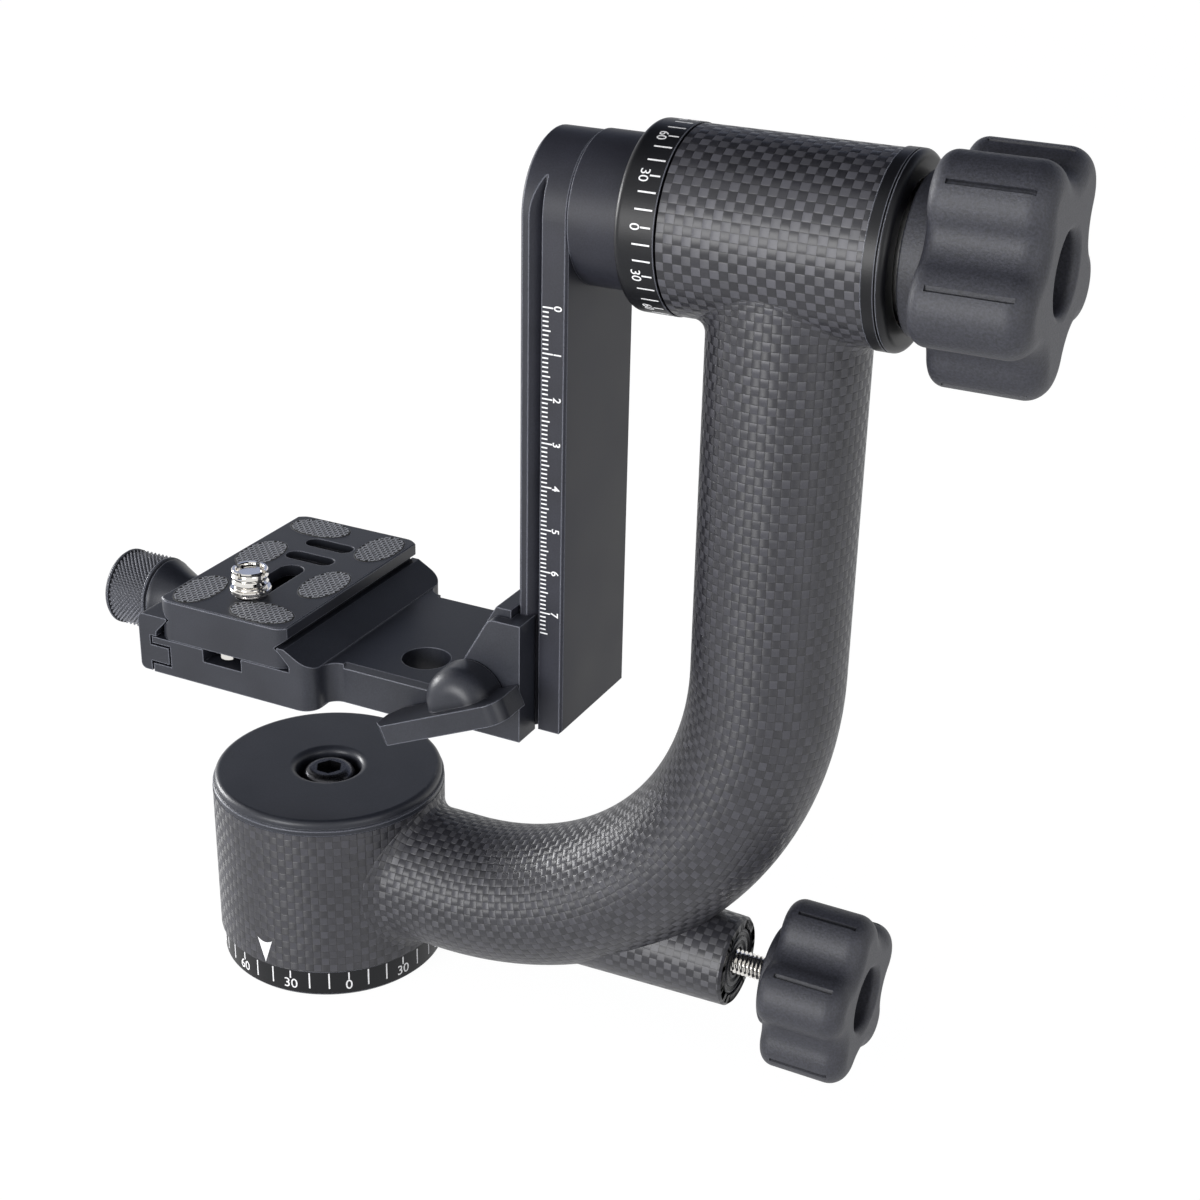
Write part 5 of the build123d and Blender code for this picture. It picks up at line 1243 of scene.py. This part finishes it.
@dataclass
class CameraPlatform:
    """Quick release clamp, its plate and the camera screw. Sizes in millimetres."""

    middle_x: float = -8.4
    plate_top: float = 104.0
    pad_long: float = 8.58
    pad_short: float = 5.18
    pad_foot: float = 103.5
    pad_face: float = 103.82
    pad_tip: float = 104.15
    pad_inside: float = 0.94
    pad_pitch: float = 1.3
    ridge_width: float = 0.4
    screw_y: float = -17.2
    slot_width: float = 1.2
    slot_foot: float = 5.4
    pads: tuple[tuple[float, float, bool], ...] = (
        (12.2, 20.6, True), (-12.2, -20.6, True), (12.2, -4.1, True), (-12.2, 4.1, True),
        (8.2, -24.4, False), (-8.2, 24.4, False)
    )
    adapter: Outline = (
        (3.2, 0.3), (3.9, 0.3), (4.05, 0.45), (4.05, 0.8), (3.9, 1.2), (4.7, 1.2), (4.95, 1.4),
        (4.95, 2.05), (4.75, 2.3), (3.95, 2.4), (3.9, 2.9), (4.35, 3.4), (4.4, 3.65), (3.9, 4.2),
        (3.85, 4.5), (4.35, 5.0), (4.4, 5.25), (3.95, 5.8), (3.9, 6.1), (4.3, 6.45), (4.35, 6.75),
        (4.1, 7.0), (3.5, 7.0), (3.25, 6.75), (3.2, 6.4), (3.2, 0.3)
    )

    def build(self) -> None:
        """Builds the pads and the adapter and dresses the platform."""
        floors, ridges = zip(*(self.pad(number, *spot) for number, spot in enumerate(self.pads)))
        # Pad floors carry the painted shade, and the ridges the painted highlight.
        floor = finish_piece(join("pad_floors", floors), PAD_FLOOR_SHADED, "camera_plate")
        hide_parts("plate_pads")
        finish_piece(join("pad_ridges", ridges), PAD_RIDGE_LIT, "camera_plate")
        adapter = finish_piece(self.slotted_adapter(), BRIGHT, "camera_fixing")
        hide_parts("thread_adapter")
        dress(ANODISED, "platform_body", "arm_jaw", "clamp_lever", "qr_jaw", "qr_plate")
        dress(BEARING, "plate_stop_pin", "arm_jaw_pins", "qr_guide_pins", "screw_retainer")
        dress(BLACK_STEEL, "lever_screw", "qr_screw")
        dress(BRIGHT, "camera_screw", "plate_stop_screws")

    def pad(self, number: int, x: float, y: float, turned: bool) -> tuple[Piece, Piece]:
        """Makes one oval pad with its crossed ridges.

        Args:
            number: Number of the pad.
            x: Distance from the plate's middle.
            y: Place along the plate.
            turned: True where the pad's length lies along the plate.

        Returns:
            The pad and its ridges.
        """
        long, short = (self.pad_short, self.pad_long) if turned else (self.pad_long, self.pad_short)
        place = Matrix.Translation(((self.middle_x + x) * MM, y * MM, 0))
        outline = (
            (0.0, self.pad_foot), (1.0, self.pad_foot), (1.0, self.pad_tip - 0.12),
            (0.985, self.pad_tip - 0.04), (0.95, self.pad_tip - 0.04), (self.pad_inside, self.pad_face),
            (0.0, self.pad_face)
        )
        oval = place @ Matrix.Diagonal((long * MM, short * MM, MM, 1.0))
        base = smooth(lathe(f"pad_{number}", outline, oval, segments=56))
        grid = join(f"pad_ridges_{number}", [self.ridges(number, long, short, slope) for slope in (1, -1)])
        grid.data.transform(place)
        return base, grid

    def ridges(self, number: int, long: float, short: float, slope: int) -> Piece:
        """Makes the parallel ridges of one pad, each as long as its chord of the oval.

        Args:
            number: Number of the pad.
            long: Half length along X.
            short: Half length along Y.
            slope: 1 for ridges that rise to the right, -1 for the others.

        Returns:
            The ridges as one mesh.
        """
        reach = math.hypot(long, short) / math.sqrt(2)
        span = reach * self.pad_inside
        count = 2 * int(span / self.pad_pitch) + 1
        repeat = Repeat(
            f"pad_ridges_{number}_{slope}",
            {
                "Pitch": self.pad_pitch, "Span": span, "Chord": 2 * self.pad_inside * long * short / reach,
                "Width": self.ridge_width, "Height": (self.pad_tip - self.pad_face) * 2, "Face": self.pad_face
            },
            {
                "Count": count, "Slide": -slope * (long ** 2 - short ** 2) / (long ** 2 + short ** 2),
                "Turn": slope * math.pi / 4
            }
        )
        tree, size, index = repeat.tree, repeat.size, repeat.index
        centred = add(tree, "subtract", [index, (count - 1) / 2])
        offset = add(tree, "multiply", [centred, size("Pitch")])
        share = add(tree, "divide", [offset, size("Span")])
        square = add(tree, "multiply", [share, share])
        rest = add(tree, "subtract", [1.0, square])
        root = add(tree, "sqrt", [rest])
        length = add(tree, "multiply", [root, size("Chord")])
        slide = add(tree, "multiply", [offset, size("Slide")])
        place = add(tree, VECTOR, {"X": slide, "Y": offset, "Z": size("Face")})
        bars = repeat.bars(place, {"X": length, "Y": size("Width"), "Z": size("Height")})
        turn = {"Geometry": bars, "Rotation": add(tree, VECTOR, {"Z": size("Turn")})}
        return repeat.run(add(tree, "GeometryNodeTransform", turn), PAD_RIDGE_LIT)

    def slotted_adapter(self) -> Piece:
        """Makes the thread adapter with its collar, ridges and cross slots.

        Returns:
            The adapter as one mesh.
        """
        place = along((0, 0, 1), (self.middle_x, self.screw_y, self.plate_top))
        turned = lathe("adapter_turned", self.adapter, place, segments=72)
        for number in range(2):
            slot = self.slot(place @ Matrix.Rotation(math.pi / 2 * number, 4, "Z"))
            cut = turned.modifiers.new(f"slot_{number}", "BOOLEAN")
            cut.operation = "DIFFERENCE"
            cut.solver = "EXACT"
            cut.object = slot
            mesh = settled(turned)
            turned.modifiers.remove(cut)
            turned.data = mesh
            bpy.data.objects.remove(slot)
        turned.name = "adapter_thread"
        return smooth(turned, 30.0)

    def slot(self, place: Matrix) -> Piece:
        """Makes the cutter of one cross slot.

        Args:
            place: Frame of the slot, which runs along its X.

        Returns:
            A box across the adapter's top.
        """
        reach, half, top = 8.0, self.slot_width / 2, 10.0
        points = [
            place @ Vector((x, y, z))
            for z in (self.slot_foot, top)
            for y in (-half, half)
            for x in (-reach, reach)
        ]
        faces = [(0, 1, 3, 2), (4, 6, 7, 5), (0, 4, 5, 1), (1, 5, 7, 3), (3, 7, 6, 2), (2, 6, 4, 0)]
        return mesh_piece("slot_cutter", points, faces)


# ---- studio ----


@dataclass
class SoftBox:
    """One area lamp: place and aim in metres, power in watts."""

    name: str
    place: Spot
    aim: Spot
    size: float
    power: float

    def build(self) -> None:
        """Hangs the lamp."""
        lamp = bpy.data.lights.new(self.name, "AREA")
        lamp.shape = "SQUARE"
        lamp.size = self.size
        lamp.energy = self.power
        where = Vector(self.place)
        facing = (Vector(self.aim) - where).to_track_quat("-Z", "Y").to_matrix().to_4x4()
        link(self.name, lamp).matrix_world = Matrix.Translation(where) @ facing


@dataclass
class Flag:
    """One card across X, out of the picture, that the upper faces mirror. Sizes in metres.

    Its two edges along X are given by their places along Y and Z.
    """

    name: str
    tone: str
    half: float
    near: tuple[float, float]
    far: tuple[float, float]

    def build(self) -> None:
        """Hangs the card."""
        ends = ((-1, self.near), (1, self.near), (1, self.far), (-1, self.far))
        card = mesh_piece(self.name, [(side * self.half, *edge) for side, edge in ends], [(0, 1, 2, 3)])
        cloth = bpy.data.materials.new(self.name + "_cloth")
        tree = emptied(cloth)
        glow = add(tree, "ShaderNodeEmission", {"Color": linear(self.tone), "Strength": 1.0})
        add(tree, "ShaderNodeOutputMaterial", {"Surface": glow})
        card.data.materials.append(cloth)
        card.visible_camera = False


@dataclass
class Studio:
    """White sweep, soft lamps and the camera. Places in metres, angles in degrees."""

    camera_place: Spot = (0.26093, -0.37324, 0.30867)
    azimuth: float = 26.319
    elevation: float = 24.958
    roll: float = 1.276
    lens: float = 60.62
    ambient: float = 0.42
    floor_reach: float = 6.0
    floor_glow: float = 1.07
    floor_share: float = 0.9
    lamps: tuple[SoftBox, ...] = (
        SoftBox("key_left", (-1.5, 0.08, 0.32), (0.05, 0.0, 0.1), 0.45, 24.0),
        SoftBox("front", (-0.3, -1.5, 0.3), (0.05, 0.0, 0.1), 0.8, 25.0),
        SoftBox("fill_right", (1.45, -0.75, 0.4), (0.06, 0.0, 0.12), 0.7, 4.5)
    )
    flags: tuple[Flag, ...] = (
        Flag("card_low", "#aab3cd", 1.9, (1.4, 0.62), (1.35, 1.1)),
        Flag("card_high", "#0b0b0e", 1.9, (1.35, 1.1), (1.2, 2.3)),
        Flag("card_top", "#0b0b0e", 1.4, (-0.5, 1.75), (1.2, 1.75))
    )

    def build(self) -> None:
        """Sets up the camera, the lamps, the world and the floor."""
        self.camera()
        for piece in (*self.lamps, *self.flags):
            piece.build()
        self.world()
        self.floor()
        bpy.context.scene.view_settings.view_transform = "Standard"

    def camera(self) -> None:
        """Places the camera."""
        data = bpy.data.cameras.new("camera")
        data.sensor_width = 36.0
        data.lens = self.lens
        data.clip_start = 0.01
        facing = Matrix.Translation(self.camera_place)
        for angle, axis in ((self.azimuth, "Z"), (90.0 - self.elevation, "X"), (self.roll, "Z")):
            facing = facing @ Matrix.Rotation(math.radians(angle), 4, axis)
        camera = link("camera", data)
        camera.matrix_world = facing
        bpy.context.scene.camera = camera

    def seen(self, tree: Tree) -> Node:
        """Builds the mask of rays that see the white surroundings.

        Args:
            tree: Node tree of the world or the floor.

        Returns:
            Node that gives one for camera, glossy and transmission rays.
        """
        rays = add(tree, "ShaderNodeLightPath").outputs
        mirrored = add(tree, "maximum", [rays["Is Glossy Ray"], rays["Is Transmission Ray"]])
        return add(tree, "maximum", [rays["Is Camera Ray"], mirrored])

    def world(self) -> None:
        """Makes the white surroundings and their level of light."""
        world = bpy.data.worlds.new("studio")
        tree = emptied(world)
        level = add(tree, RANGE, {"Value": self.seen(tree), "To Min": self.ambient})
        light = add(tree, "ShaderNodeBackground", {"Color": linear("#ffffff"), "Strength": level})
        add(tree, "ShaderNodeOutputWorld", {"Surface": light})
        bpy.context.scene.world = world

    def floor(self) -> None:
        """Lays the white floor, which keeps a faint shadow."""
        near, far = -self.floor_reach, self.floor_reach
        corners = [(near, near, 0.0), (far, near, 0.0), (far, far, 0.0), (near, far, 0.0)]
        floor = mesh_piece("studio_floor", corners, [(0, 1, 2, 3)])
        paper = bpy.data.materials.new("studio_paper")
        tree = emptied(paper)
        lit = add(tree, "ShaderNodeBsdfDiffuse", {"Color": linear("#f4f4f4")})
        glow = add(tree, "ShaderNodeEmission", {"Color": linear("#ffffff"), "Strength": self.floor_glow})
        share = add(tree, "multiply", [self.seen(tree), self.floor_share])
        mixed = add(tree, "ShaderNodeMixShader", {0: share, 1: lit, 2: glow})
        add(tree, "ShaderNodeOutputMaterial", {"Surface": mixed})
        floor.data.materials.append(paper)


def main() -> None:
    """Builds the studio and every sub-assembly in order."""
    logging.basicConfig(level=logging.INFO, format="%(name)s: %(message)s")
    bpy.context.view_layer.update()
    Studio().build()
    for part in (PanBase(), BentTube(), PanLock(), TiltHead(), SwingArm(), KnurledKnob(), CameraPlatform()):
        part.build()
        LOG.info("%s is dressed", type(part).__name__)


if __name__ == "__main__":
    main()
